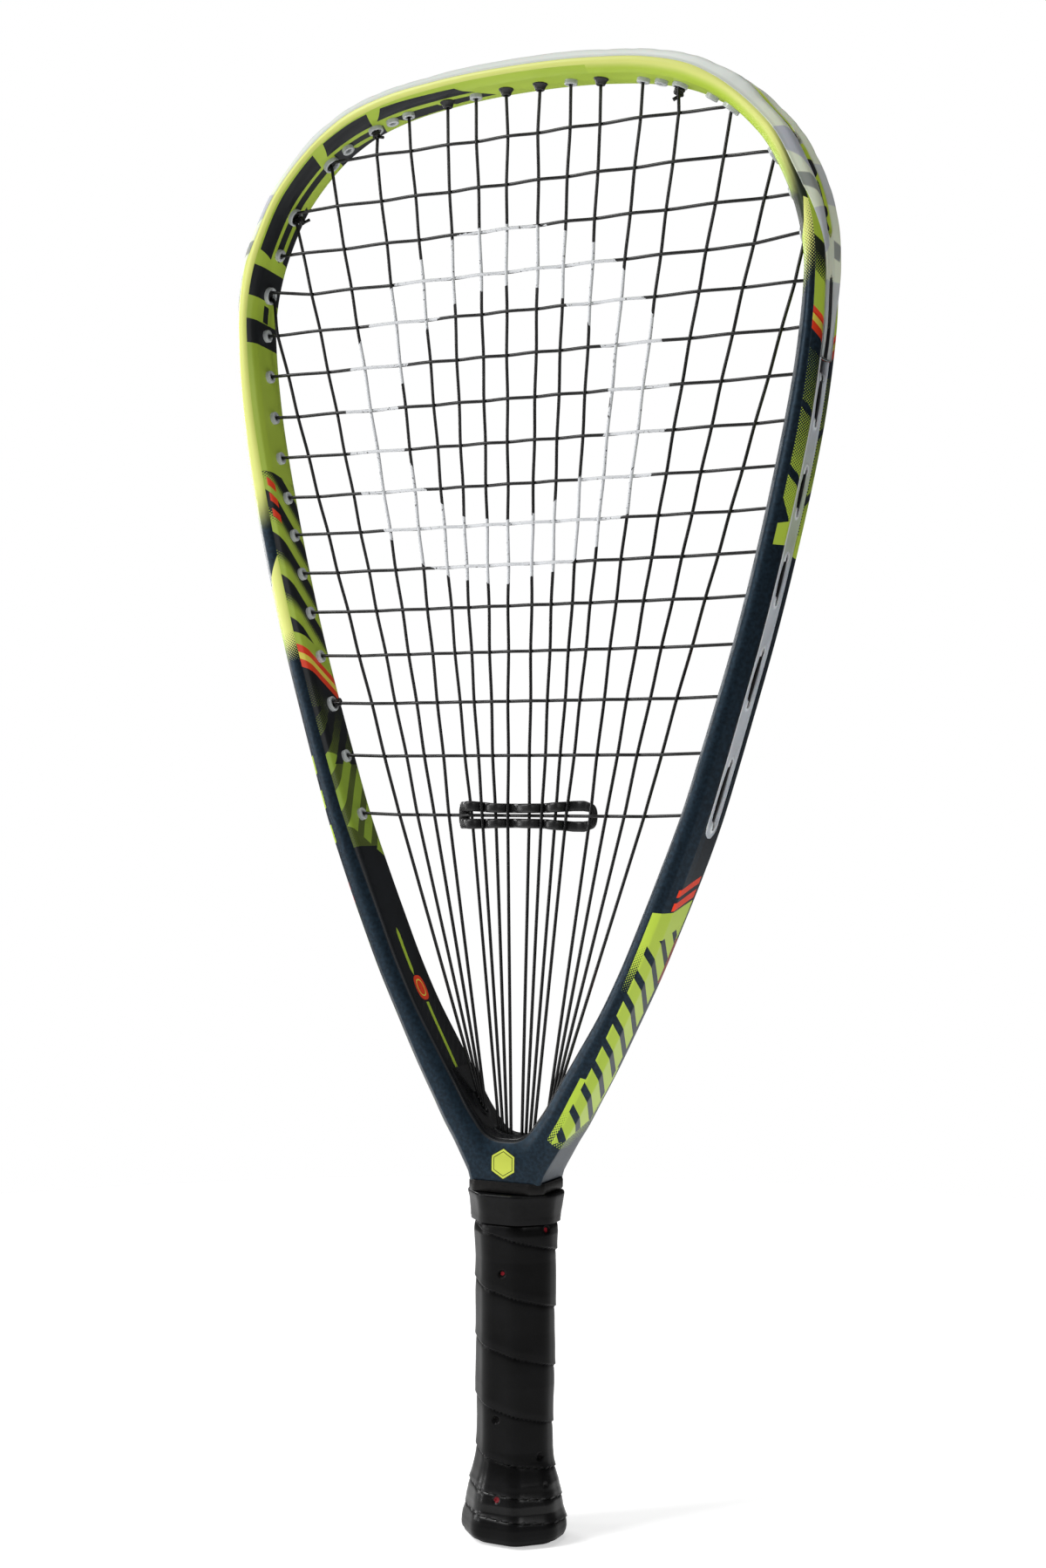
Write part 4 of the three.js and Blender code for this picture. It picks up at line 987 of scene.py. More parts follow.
        # down the sides the guard is a valley between two ridges, the front one lower
        dp = deep[:, None]
        h = np.where(h > Tw + 0.35, Tw + 0.35 + (h - Tw - 0.35) * (1 - 0.75 * dp * (V2 < 0)), h)
        valley = dp * (1 - smooth(2.5, 6.4, np.abs(V2)))
        h = np.where(flat, h - (h - Tw - 0.1) * valley, h)
        h = h + lean(np.abs(S2), V2) * (h > Tw - 3.6)
    else:
        h = np.where(flat, h - depth_rec * np.maximum(rec - boss, 0) + 0.3 * boss, h)
    h = np.where(flat, h + (floor - h) * chan, h)
    h = np.where(flat & (bore > 0.5), np.minimum(h, Tw - (1.15 + 0.75 * deep[:, None] if kind == "bumper" else 1.7)), h)
    if kind == "bumper":
        # a shallow step along the middle of the guard, as moulded
        mid = (1 - smooth(2.7, 3.1, np.abs(V2))) * (1 - dp)
        h = np.where(flat, h - 0.12 * mid * (1 - chan) * np.clip(k, 0, 1)[:, None], h)
    P = np.stack([w.x[:, None] + w.nx[:, None] * h, V2, w.z[:, None] + w.nz[:, None] * h], -1)
    N, M = h.shape
    faces = grid_faces(N, M)
    faces.append(list(range(M))[::-1])
    faces.append(list(range((N - 1) * M, N * M)))
    faces = fix(P.reshape(-1, 3), faces)
    ob = build(name, P.reshape(-1, 3), faces, {"arc": np.repeat(a, M), "vv": V2.reshape(-1), "chan": (chan * flat).reshape(-1), "rec": (rec * flat).reshape(-1), "boss": (boss * flat).reshape(-1),
                                               "bore": (bore * flat).reshape(-1), "lip": np.repeat(lip, M)}, 42, [material])
    finish_piece(ob, *nodes, slot=slot)
    return ob


def washer(w, r0, r1, h, sides=22, y=0.0, seat=0.25):
    """Rounded ring on the inner wall: bore radius r0, outer radius r1, height h inward."""
    prof = [(seat, r1), (-h + 0.3, r1), (-h + 0.1, r1 - 0.1), (-h, r1 - 0.3), (-h, r0 + 0.28), (-h + 0.1, r0 + 0.08), (-h + 0.3, r0), (seat, r0)]
    a = np.arange(sides) / sides * 2 * np.pi
    nrm, tan, Y = np.array([w.nx, 0, w.nz], float), np.array([-w.nz, 0, w.nx], float), np.array([0, 1.0, 0])
    base = np.array([w.x, y, w.z], float)
    V_ = np.array([base + nrm * u + (tan * math.cos(t) + Y * math.sin(t)) * r for u, r in prof for t in a])
    return V_, grid_faces(len(prof), sides, close_rows=True)


def build_grommets():
    clear, dark = Pile(), Pile()
    for key, (s, kind) in HOLES.items():
        w = Wall(s)
        if kind == "power":
            continue
        V_, F = washer(w, BORE[kind], RING[kind], 1.65)
        clear.add(V_, F, 0)
        # painted shade: a dark disc in each ring's bore stands in for the shade inside the hole
        V_, F = revolve(w, [(0.15, 0), (0.15, BORE[kind] + 0.1), (-0.12, BORE[kind] + 0.1), (-0.12, 0)][::-1], 18)
        dark.add(V_, F, 0)
    ob = clear.done("inner_grommet_rings", [MAT["clear"]], sharp=50)
    finish_piece(ob, slot="grommet_strip")
    ob = dark.done("grommet_bore_shade_discs", [MAT["void"]], sharp=50)
    finish_piece(ob, slot="black_plastic")
    for i, key in enumerate(("LT6", "LT8", "RT8", "RT6")):
        w = Wall(HOLES[key][0])
        pile = Pile()
        prof = [(0.3, 2.9), (-0.25, 2.9), (-0.45, 2.75), (-0.6, 2.45), (-2.1, 1.85), (-2.4, 1.72), (-2.55, 1.5), (-2.55, 1.05), (-2.4, 0.86), (-2.1, 0.8), (0.3, 0.8)]
        a = np.arange(24) / 24 * 2 * np.pi
        nrm, tan, Y = np.array([w.nx, 0, w.nz], float), np.array([-w.nz, 0, w.nx], float), np.array([0, 1.0, 0])
        base = np.array([w.x, 0, w.z], float)
        V_ = np.array([base + nrm * u + (tan * math.cos(t) + Y * math.sin(t)) * r for u, r in prof for t in a])
        pile.add(V_, grid_faces(len(prof), 24, close_rows=True))
        ob = pile.done("flared_cup_%d" % (i + 1), [MAT["black"]], sharp=45)
        finish_piece(ob, "flared_grommet_%d" % (i + 1), slot="black_plastic")


def build_bands():
    band("bumper_shell", ("bumper_guard",), -S_JOINT, S_JOINT, "bumper", MAT["bumper"], "bumper")
    band("grommet_band_left", ("left_grommet_strip",), -(S_JOINT + 0.25), -S_STRIP_END, "strip", MAT["strip"], "grommet_strip")
    band("grommet_band_right", ("right_grommet_strip",), S_JOINT + 0.25, S_STRIP_END, "strip", MAT["strip"], "grommet_strip")


# ------------------------------------------------------------------ throat bridge
def build_bridge():
    S0 = wall_near(24.2, 175.6)
    s = np.concatenate([np.arange(S0, S_END - 0.3, 0.5), [S_END]])
    s = np.concatenate([s, -s[::-1][1:]])
    # one run from the right end to the left end through the middle
    w = Wall(s)
    pos = np.where(w.s > 0, w.s, 2 * S_END + w.s)        # grows along the whole run
    n = len(s)
    mid = S_END
    slots = [(wall_near(15.7, 161.35), 3.9), (wall_near(4.9, 150.4), 3.7)]
    ys = np.array([-8.4, -8.4, -8.25, -7.9, -7.0, -5.5, -4.2, -3.2, -2.6, -2.2, -1.9, -1.6, -1.3, -1.05, -0.5, 0, 0.5, 1.05, 1.3, 1.6, 1.9, 2.2, 2.6, 3.2, 4.2, 5.5, 7.0, 7.9, 8.25, 8.4, 8.4])
    us = np.array([1.3, -0.25, -0.6, -0.72] + [-0.74] * (len(ys) - 8) + [-0.72, -0.6, -0.25, 1.3])
    U = np.broadcast_to(us, (n, len(us))).copy()
    Y = np.broadcast_to(ys, U.shape)
    d_from_mid = np.abs(pos - mid)[:, None]
    slot = np.zeros_like(U)
    rim = np.zeros_like(U)
    for sc, hl in slots:
        c = mid - sc
        d = np.hypot(np.maximum(np.abs(d_from_mid - c) - (hl - 1.1), 0), Y)
        slot = np.maximum(slot, 1 - smooth(1.0, 1.25, d))
        rim = np.maximum(rim, 1 - smooth(2.3, 3.1, d))
    taper = smooth(0, 5, np.minimum(pos - pos[0], pos[-1] - pos))[:, None]
    inner_zone = (np.abs(Y) < 8.0)
    U = np.where(inner_zone, U - 0.55 * rim * taper, U)
    U = np.where(slot > 0, U + (1.1 - U) * slot, U)
    P = np.stack([w.x[:, None] + w.nx[:, None] * U, Y, w.z[:, None] + w.nz[:, None] * U], -1)
    N, M = U.shape
    F = grid_faces(N, M)
    F += [list(range(M))[::-1], list(range((N - 1) * M, N * M))]
    F = fix(P.reshape(-1, 3), F)
    ob = build("throat_insert", P.reshape(-1, 3), F, {"slot": slot.reshape(-1), "rim": rim.reshape(-1)}, 40, [MAT["gloss_black"]])
    finish_piece(ob, "throat_bridge", slot="black_plastic")


# ------------------------------------------------------------------ damper
def build_damper():
    z0 = CROSS_Z[15]
    L, R = -24.2, 28.4

    def main_at(i, z):
        k = (z - z0) / (CROSS_Z[14] - z0)
        return main_x(i, 16) + (main_x(i, 15) - main_x(i, 16)) * k
    up_x = [L - 0.1, L + 0.5] + [main_at(i, z0 + 2.9) for i in range(5, 13)] + [R - 3.6, R - 1.2, R + 0.2]
    dn_x = [L - 0.1, L + 0.5] + [main_at(i, z0 - 2.9) for i in range(5, 13)] + [R - 3.6, R - 1.2, R + 0.2]
    wy = [1.8, 0.4] + [1.78 if over(i, 16) else -1.78 for i in range(5, 13)] + [2.6, 3.0, 3.2]
    # distance of a bar's middle from the last cross string, along x
    gap_x = np.array([-26, -23.5, -20, -15, -8, 0, 8, 13, 18, 22, 26, 29])
    gap_u = np.array([2.3, 3.2, 3.55, 3.1, 2.8, 2.75, 2.85, 3.05, 3.4, 3.75, 3.8, 3.0])
    gap_d = np.array([2.3, 3.0, 3.3, 3.2, 3.0, 2.9, 3.0, 3.2, 3.6, 4.0, 4.0, 3.2])

    def bar(xs, sign):
        X = np.linspace(L - 0.1, R + 0.2, 118)
        # waves between the mains: flat over each main, soft between
        Yw = np.empty_like(X)
        for n_, x in enumerate(X):
            i = int(np.clip(np.searchsorted(xs, x) - 1, 0, len(xs) - 2))
            k = np.clip((x - xs[i]) / (xs[i + 1] - xs[i]), 0, 1)
            k = np.clip((k - 0.12) / 0.76, 0, 1)
            Yw[n_] = wy[i] + (wy[i + 1] - wy[i]) * (0.5 - 0.5 * math.cos(math.pi * k))
        g = np.interp(X, gap_x, gap_u if sign > 0 else gap_d)
        return np.column_stack([X, Yw, z0 + sign * g])
    up = bar(np.array(up_x), 1)
    dn = bar(np.array(dn_x), -1)
    # round the right end
    a = np.linspace(0, 1, 16)[1:-1]
    c = np.array([R + 0.2, 3.3, z0])
    ru, rd = up[-1, 2] - z0, z0 - dn[-1, 2]
    turn_r = [[c[0] + 0.0 + 1.15 * math.sin(math.pi * t), 3.3, z0 + (ru * math.cos(math.pi * t) if t < 0.5 else rd * math.cos(math.pi * t))] for t in a]
    lu, ld = up[0, 2] - z0, z0 - dn[0, 2]
    turn_l = [[L - 0.1 - 0.35 * math.sin(math.pi * t), 2.0, z0 - (ld * math.cos(math.pi * t) if t < 0.5 else lu * math.cos(math.pi * t))] for t in a]
    path = np.vstack([up, turn_r, dn[::-1], turn_l])
    n = len(path)
    # sweep a rounded flat section along the path
    nxt, prv = np.roll(path, -1, 0), np.roll(path, 1, 0)
    T = nxt - prv
    T /= np.linalg.norm(T, axis=1)[:, None]
    Yax = np.array([0, 1.0, 0])
    E1 = np.cross(T, Yax)
    E1 /= np.linalg.norm(E1, axis=1)[:, None]
    E2 = np.cross(E1, T)
    x = path[:, 0]
    hh = np.interp(x, [-26, -23.5, -20, -10, 0, 10, 20, 26, 30], [1.3, 1.9, 2.0, 1.85, 1.8, 1.85, 1.95, 2.0, 1.5])
    ht = np.full(n, 1.2)
    m = 24
    ang = np.arange(m) / m * 2 * np.pi
    cx = np.sign(np.cos(ang)) * np.abs(np.cos(ang)) ** 0.55
    cy = np.sign(np.sin(ang)) * np.abs(np.sin(ang)) ** 0.7
    ring = path[:, None] + (hh[:, None] * cx)[..., None] * E1[:, None] + (ht[:, None] * cy)[..., None] * E2[:, None]
    pile = Pile()
    F = grid_faces(n, m, close_rows=True)
    pile.add(ring.reshape(-1, 3), F)
    # left tab: a rounded block that closes the loop
    rings = []
    outline = octagon(1.75, 1.3, 0.5, 0.35, 3)
    for z, k in ((-5.2, 0.72), (-5.0, 0.9), (-4.6, 1.0), (-1.0, 1.0), (1.0, 1.0), (4.6, 1.0), (5.0, 0.9), (5.2, 0.72)):
        rings.append([[L + 0.3 + p[0] * k, 2.15 + p[1] * k, z0 + z] for p in outline])
    loft(pile, rings)
    ob = pile.done("damper_loop", [MAT["rubber"]], sharp=60)
    finish_piece(ob, "string_damper", slot="damper_rubber")


# ------------------------------------------------------------------ handle
FLARE_Z = np.array([1.5, 4.5, 8.5, 14, 20, 27, 34, 200])
FLARE_E = np.array([4.2, 5.0, 4.6, 3.0, 1.5, 0.5, 0, 0])
PITCH = 22.3


def fuller(z):
    """The wrap and its sleeve stand out a little more than the octagon they are wound on, mm."""
    return np.interp(z, [0, 5, 9, 12, 15, 18.5, 22, 25, 29, 34, 45, 52, 58, 66, 72, 78, 85, 92, 98, 105, 108, 111.5, 115, 117.4, 120, 124.7, 127.4, 129.5, 131],
                     [0.1, 0.2, 0.3, 0.3, 0.9, 1.2, 1.15, 0.75, 0.35, 0.15, 0.1, 0.35, 0.7, 0.7, 0.75, 0.65, 0.75, 1.0, 1.0, 0.95, 1.1, 1.35, 1.65, 1.5, 0.9, 1.5, 1.65, 1.7, 1.6])


def flare(z):
    z = np.asarray(z, float)
    # smooth through the table
    zs = np.array([0, 1.5, 3, 4.5, 6.5, 8.5, 11, 14, 17, 20, 23.5, 27, 30.5, 34, 40, 200])
    es = np.array([3.5, 4.2, 4.78, 5.0, 4.92, 4.6, 3.88, 3.0, 2.18, 1.5, 0.93, 0.5, 0.2, 0.05, 0, 0])
    return np.interp(z, zs, es)


def wrap_turn(phi, z):
    """Turns of the wrap up to here: the seam is where this is whole. phi in turns, front centre 0, growing to the right."""
    base = np.interp(z, [1.0, 10.1, 18.7, 30.1, 48.9, 71.2, 93.2, 114.6, 136.0], [-3, -2, -1, 0, 1, 2, 3, 4, 5])
    return base + phi


def build_grip():
    nz, na = 330, 208
    z = np.linspace(1.5, 120.0, nz)
    unit = handle_oct(0, 3.2, 5)
    # even samples round the octagon
    closed = np.vstack([unit, unit[:1]])
    run = np.concatenate([[0], np.cumsum(np.hypot(*np.diff(closed, axis=0).T))])
    total = run[-1]
    t = np.arange(na) / na * total

    def ring_at(e):
        o = handle_oct(-e, 3.2, 5)
        c = np.vstack([o, o[:1]])
        r = np.concatenate([[0], np.cumsum(np.hypot(*np.diff(c, axis=0).T))])
        q = t / total * r[-1]
        return np.column_stack([np.interp(q, r, c[:, 0]), np.interp(q, r, c[:, 1])])
    # phi: front centre is x = 0, y = -12.5
    base = ring_at(0)
    k0 = np.argmin(np.abs(base[:, 0]) + (base[:, 1] > 0) * 99)
    phi = (np.arange(na) - k0) / na
    phi = (phi + 0.5) % 1 - 0.5
    Z, PH = np.meshgrid(z, phi, indexing="ij")
    turn = wrap_turn(PH, Z)
    # the seam drops towards the right, so a turn is gained by going right
    fr = turn - np.floor(turn)                      # 0 just above a seam, 1 just below the next
    up = fr * PITCH                                 # height above the seam below, mm
    down = (1 - fr) * PITCH                         # distance below the seam above, mm
    bump = 0.55 * np.exp(-np.maximum(up, 0) / 4.0) * smooth(0, 0.5, up) - 0.4 * np.exp(-down / 1.0) - 0.12
    fade = smooth(0.8, 4, Z) * (1 - smooth(118.4, 118.95, Z))
    squeeze = smooth(118.9, 119.35, Z) * 1.9
    swell = 0.16 * np.sin(np.pi * np.clip(fr, 0, 1)) + 0.05 * np.sin(PH * 2 * np.pi * 3 + Z * 0.21)
    e = flare(z)[:, None] + fuller(z)[:, None] + (bump + swell) * fade - squeeze - 0.12
    # perforations: rows along the tape
    wl = (turn * total)                              # along the tape
    V3 = np.empty((nz, na, 3))
    rings = {}
    for i in range(nz):
        r0 = ring_at(0)
        nrm = np.roll(r0, -1, 0) - np.roll(r0, 1, 0)
        nrm = np.column_stack([nrm[:, 1], -nrm[:, 0]])
        nrm /= np.hypot(*nrm.T)[:, None]
        r1 = ring_at(flare(z[i]))
        off = e[i] - flare(z[i])
        V3[i, :, :2] = r1 + nrm * off[:, None]
        V3[i, :, 2] = z[i]
    wl_along = PH * total + np.floor(turn) * 37.0
    hole_d = perforation(V3)
    dent = 0.9 * (1 - smooth(0.95, 1.45, hole_d)) * fade
    # dents push in along the outline's normal
    for i in range(nz):
        r0 = ring_at(0)
        nrm = np.roll(r0, -1, 0) - np.roll(r0, 1, 0)
        nrm = np.column_stack([nrm[:, 1], -nrm[:, 0]])
        nrm /= np.hypot(*nrm.T)[:, None]
        V3[i, :, :2] -= nrm * dent[i][:, None]
    pts = V3.reshape(-1, 3)
    F = grid_faces(nz, na)
    # closed foot: a lip turned in under the cap's skirt
    # inside wall: follows the flare, so that it stays under the outside
    levels = [1.5, 4.5, 8.5, 14.0, 20.0, 27.0, 34.0, 120.0]
    base_n = len(pts)
    pts = np.vstack([pts] + [np.column_stack([ring_at(flare(q) - 2.2), np.full(na, q)]) for q in levels])
    last = base_n + (len(levels) - 1) * na
    for k in range(na):
        k2 = (k + 1) % na
        F.append([k2, k, base_n + k, base_n + k2])
        F.append([(nz - 1) * na + k, (nz - 1) * na + k2, last + k2, last + k])
        for j in range(len(levels) - 1):
            r = base_n + j * na
            F.append([r + k2, r + k, r + na + k, r + na + k2])
    F = fix(pts, F)
    pad = np.zeros(len(levels) * na)
    ob = build("grip_wrap_tape", pts, F, {"up": np.concatenate([up.reshape(-1), pad]), "along": np.concatenate([wl_along.reshape(-1), pad]),
                                          "fade": np.concatenate([fade.reshape(-1), pad])}, 55, [MAT["grip"]])
    finish_piece(ob, "grip_wrap", slot="grip_rubber")


# breathing holes of the wrap: x, y, z, 1 where the red underlay shows
PERF = [(0.7, -13.4, 100.9, 1), (15.2, -4.8, 117.2, 1), (-1.9, -12.7, 45.9, 0), (13.7, -5.9, 32.4, 1), (14.9, -5.2, 21.8, 0), (0.0, -15.0, 16.9, 1),
        (-15.6, 1.0, 92, 1), (-15.4, 0.5, 58, 0), (3.0, 13.4, 98, 1), (-4.0, 13.3, 74, 1), (6.5, 13.3, 55, 0), (-2.0, 12.8, 34, 1), (1.0, 15.6, 14, 1), (-13.9, 6.6, 80, 0),
        (13.6, 6.4, 68, 1), (13.9, 6.6, 40, 1), (-13.6, 6.2, 36, 1), (-19.2, 1.0, 10, 0)]


def perforation(P):
    """Distance to the nearest perforation's middle, mm."""
    best = np.full(P.shape[:-1], 99.0)
    for x, y, z, _ in PERF:
        best = np.minimum(best, np.sqrt(((P - np.array([x, y, z])) ** 2).sum(-1)))
    return best


def rounded_rings(spec, r=1.6, n=4):
    """spec: (d outward, z) for the grip octagon."""
    return [level(handle_oct(-d, r, n), z) for d, z in spec]


def build_handle_trim():
    # collar: a stretched rubber sleeve with a bead at each end
    n_sides = len(handle_oct(0, 3.2, 6))
    spec = [(0.05, 119.3), (1.0, 119.3), (1.28, 119.4), (1.42, 119.7), (1.45, 120.2), (1.5, 120.9), (1.42, 121.6), (1.4, 122.3), (1.38, 123.4), (1.4, 124.8),
            (1.48, 126.4), (1.6, 127.8), (1.78, 128.8), (1.9, 129.5), (1.93, 130.0), (1.86, 130.35), (1.65, 130.58), (1.3, 130.6), (0.7, 130.6), (0.2, 128.5)]
    pile = Pile()
    spec = [(d + (fuller(z) - (0.35 if z < 119 else 0.0) if d > 1.1 else (0.9 if d >= 1.0 else 0.0)), z) for d, z in spec]
    rings = [level(handle_oct(-d, 3.2, 6), z) for d, z in spec]
    rings = [np.asarray(r) for r in rings]
    # slow folds round the sleeve
    for i, ((d, z), r) in enumerate(zip(spec, rings)):
        if d > 1.1:
            a = np.arctan2(r[:, 1], r[:, 0])
            k = 1 + 0.006 * np.sin(a * 3 + z * 0.5) * (1 if 119 < z < 129 else 0)
            r[:, 0] *= k
            r[:, 1] *= k
    V_ = np.vstack(rings)
    m = len(rings[0])
    pile.add(V_, grid_faces(len(rings), m, close_rows=True))
    ob = pile.done("collar_sleeve", [MAT["sleeve"]], sharp=50)
    finish_piece(ob, "grip_collar", slot="grip_rubber")
    # tape: two turns, the second a little narrower and standing proud of the first
    pile = Pile()
    for z0, z1, d in ((130.9, 134.9, 0.0), (131.3, 134.3, 0.12)):
        ro, ri = octagon(15.65 + d, 12.35 + d, 3.6, 1.2, 4), octagon(14.9, 11.5, 4.2, 1.1, 4)
        rings = [level(ri, z0), level(ro * 0.997, z0), level(ro, z0 + 0.15), level(ro, z1 - 0.15), level(ro * 0.997, z1), level(ri, z1)]
        pile.add(np.vstack(rings), grid_faces(len(rings), len(ro), close_rows=True))
    ob = pile.done("tape_band", [MAT["tape"]], sharp=40)
    finish_piece(ob, "finishing_tape", slot="tape")
    # butt cap: rounded foot, a shallow bowl and the tether bar's seat
    outer = [(-1.35 + 4.2 - 1.65, 0.0), (1.75, 0.08), (2.1, 0.35), (2.2, 0.8), (2.2, 1.4), (2.0, 3.0)]
    pile = Pile()
    ring = lambda d, z: level(handle_oct(-d, 3.0, 5), z)
    bowl = lambda hx, hy, c, z: level(octagon(hx, hy, c, 2.4, 5), z)
    m = len(handle_oct(0, 3.0, 5))
    assert m == len(octagon(10, 8, 5, 2.4, 5))
    rings = [ring(0.2, 26.0), ring(0.6, 20.2), ring(1.6, 14.2), ring(2.7, 8.7), ring(2.9, 4.7), ring(2.6, 2.2), ring(2.45, 1.2), ring(2.2, 0.45), ring(1.75, 0.08), ring(1.2, 0.0),
             bowl(12.6, 10.4, 6.1, 0.0), bowl(12.25, 10.05, 6.0, 0.12), bowl(12.05, 9.85, 5.9, 0.5), bowl(11.5, 9.35, 5.6, 4.0), bowl(10.9, 8.85, 5.3, 8.6), bowl(10.2, 8.2, 5.0, 9.35),
             bowl(9.2, 7.3, 4.4, 9.5), bowl(4.0, 3.2, 1.9, 9.5)]
    V_ = np.vstack(rings)
    F = grid_faces(len(rings), m)
    F.append(list(range(m))[::-1])
    F.append(list(range((len(rings) - 1) * m, len(rings) * m)))
    pile.add(V_, F)
    # two bosses that hold the bar
    for side in (-1, 1):
        rings = []
        for z, k in ((0.5, 0.86), (0.75, 1.0), (5.2, 1.0), (6.0, 0.8)):
            rings.append([[side * (12.2 + (p[0]) * k), p[1] * k, z] for p in octagon(1.5, 2.2, 0.8, 0.4, 3)])
        loft(pile, rings)
    ob = pile.done("butt_cap_shell", [MAT["cap"]], sharp=40)
    finish_piece(ob, "butt_cap", slot="black_plastic")
    # bar: round, bright steel
    V_, F = tube([[x, 0, 2.7] for x in np.linspace(-13.0, 13.0, 30)], 1.08, 20)
    ob = build("tether_bar_round", V_, fix(V_, F), None, 40, [MAT["steel"]])
    finish_piece(ob, "tether_bar", slot="steel")


# ------------------------------------------------------------------ the finishes of this racket
LIME = srgb(172, 198, 58)
LIME_2 = srgb(182, 206, 70)
LIME_IN = srgb(168, 194, 62)
LIME_IN2 = srgb(178, 202, 72)
# painted highlight colour for the crown's lime
LIME_PAINTED_HIGHLIGHT = srgb(216, 219, 126)
BLACK = srgb(19, 22, 26)
NAVY = srgb(17, 30, 40)
NAVY_2 = srgb(27, 44, 57)
RED = srgb(236, 66, 32)
YELLOW = srgb(236, 218, 84)
GREY = srgb(158, 163, 172)


def frame_material(name, inside, coat, spec):
    """Print and lacquer of the beam. inside is the satin print of the inner wall, otherwise the glossy outside."""
    g = Graph(name)
    a, uu, zone, per, y = g.attr("arc"), g.attr("uu"), g.attr("zone"), g.attr("per"), g.y
    x, z = g.x, g.z
    left = x < 0.0
    right = x > 0.0

    def between(v, lo, hi):
        return (v > lo) * (v < hi)

    def hard(d):
        return d > 0.0

    def joined(polys, p=None, q=None):
        out = None
        for pts in polys:
            d = g.poly(a if p is None else p, y if q is None else q, pts)
            out = d if out is None else out.max(d)
        return hard(out)
    tone = g.noise(25, 2.0)
    fine = g.noise(700, 1.0)
    limes = g.mix(tone.ramp(0.3, 0.7), LIME, LIME_2)
    flake = V(g, g.voronoi(3400.0))
    spark = flake.ramp(0.16, 0.02)
    navy = g.mix(fine.ramp(0.3, 0.75), NAVY, NAVY_2)
    navy = g.mix(spark * 0.35, navy, srgb(96, 124, 146))
    if inside:
        # inner wall ---------------------------------------------
        top_left = joined([[(19, -3.2), (25, -9.0), (57, -10.2), (62, -4.6)], [(13, 3.4), (17, -0.4), (34, -1.0), (31, 4.2)], [(37, -0.4), (57, -1.4), (53, 6.4), (34, 6.0)],
                           [(63, -10.4), (84, -10.6), (87, -5.2), (65, -3.0)], [(62, 0.2), (85, -2.8), (88, 10.6), (65, 10.6)]])
        slot = hard(g.poly(a, y, [(67.5, 3.6), (79, 1.4), (77, 4.4), (68, 5.8)]))
        sides = joined([[(90, -10.4), (131.5, -10.4), (134, -4.4), (92, -3.4)], [(91, -1.6), (132.5, -2.2), (134, 1.8), (93, 2.3)], [(109, 4.6), (133.5, 4.1), (135, 10.4), (112, 10.4)],
                        [(137.4, -11.5), (149.4, -11.5), (151.4, 11.5), (139.4, 11.5)], [(152.0, -2.4), (158.8, -2.4), (159.3, 1.2), (152.6, 1.2)],
                        [(158.4, -11.5), (168.0, -11.5), (170.0, 11.5), (160.4, 11.5)]])
        black = top_left * left
        black = black - black * slot
        black = black.max(sides)
        # slanted bars with a halftone edge
        sl = a - y * 1.25
        cell = (sl - 224.0) / 17.5
        fr = cell - cell.floor()
        dots = g.dots(a, y, 0.55, fr.ramp(0.34, 0.80, False) * 1.25 - 0.12)
        bar = (fr < 0.30).max((fr < 0.84) * (1.0 - dots))
        region = hard(g.poly(a, y, [(220, -12), (226, 12), (300, 12), (286, -12)]))
        black = black.max(bar * region)
        red = None
        for k in range(3):
            d = g.poly(a, y, [(223 + 6.4 * k, -9.9), (226.4 + 6.4 * k, -9.9), (229.6 + 6.4 * k, -6.9), (226.2 + 6.4 * k, -6.9)])
            red = d if red is None else red.max(d)
        st = a - (y + 11.6) * 0.77
        lower = st > 300.6
        red_in = hard(red).max(between(st, 291.0, 294.3)).max(between(st, 297.2, 300.6))
        yellow_in = between(st, 294.3, 297.2)
        # below the stripes: dark, with a green halftone that grows, then broad slanted bars
        ol_share = st.ramp(303.0, 341.0, False)
        ol_dots = g.dots(a, y, 0.55, ol_share * 0.95 - 0.05) * (a < 376.0)
        dl = (a + y * 1.35 - 338.0) / 15.0
        dfr = dl - dl.floor()
        big = (dfr < 0.56) * hard(g.poly(a, y, [(336, -12), (345, 12), (383, 12), (366, -12)]))
        gap1 = (dfr > 0.5) * (a > 318.0) * (a < 342.0)
        low_bar = between(a, 410.0, 430.0) * ((y + 1.8).abs() < (1.05 - (a - 420.0).abs().ramp(7.6, 10.0, False) * 1.05))
        low_bar2 = between(a, 441.5, 483.0) * ((y + 0.2 + (a - 441.0) * 0.095).abs() < 0.95)
        badge = g.oval(a, y, 435.4, -0.4, 5.2, 3.9, 2.6)
        badge_in = g.oval(a, y, 435.4, -0.4, 3.6, 2.5, 2.4)
        ring = hard(badge_in) * (badge_in < 0.42)
        lime_low = low_bar.max(low_bar2)
        col_in = g.mix(black, g.mix(tone.ramp(0.3, 0.7), LIME_IN, LIME_IN2), BLACK)
        dark_low = g.mix(g.noise(60, 2.0, 0.5).ramp(0.35, 0.7), srgb(13, 16, 20), srgb(20, 24, 29))
        low = g.mix(ol_dots, dark_low, srgb(86, 100, 38))
        low = g.mix(big, low, srgb(148, 176, 58))
        low = g.mix(gap1, low, srgb(13, 17, 22))
        low = g.mix(lime_low, low, srgb(176, 204, 62))
        low = g.mix(hard(badge), low, RED)
        low = g.mix(ring, low, YELLOW)
        col_in = g.mix(lower, col_in, low)
        col_in = g.mix(red_in, col_in, RED)
        out = g.mix(yellow_in, col_in, YELLOW)
        dull = black.max(lower)
        g.set(color=out, rough=dull * 0.06 + (g.noise(300, 2.0) * 0.06 + 0.42), coat=coat, coat_rough=0.2, spec=spec)
        grooves = ((a + y * 0.9) * 1.55).sin().ramp(0.55, 1.0) * between(a, 434.0, 500.0) * (y.abs() < 7.5)
        n1 = g.bump(g.noise(1400, 1.0), 0.00002, 0.2)
        g.set(normal=g.bump(grooves * -1.0, 0.00025, 0.8, n1))
        return g.mat
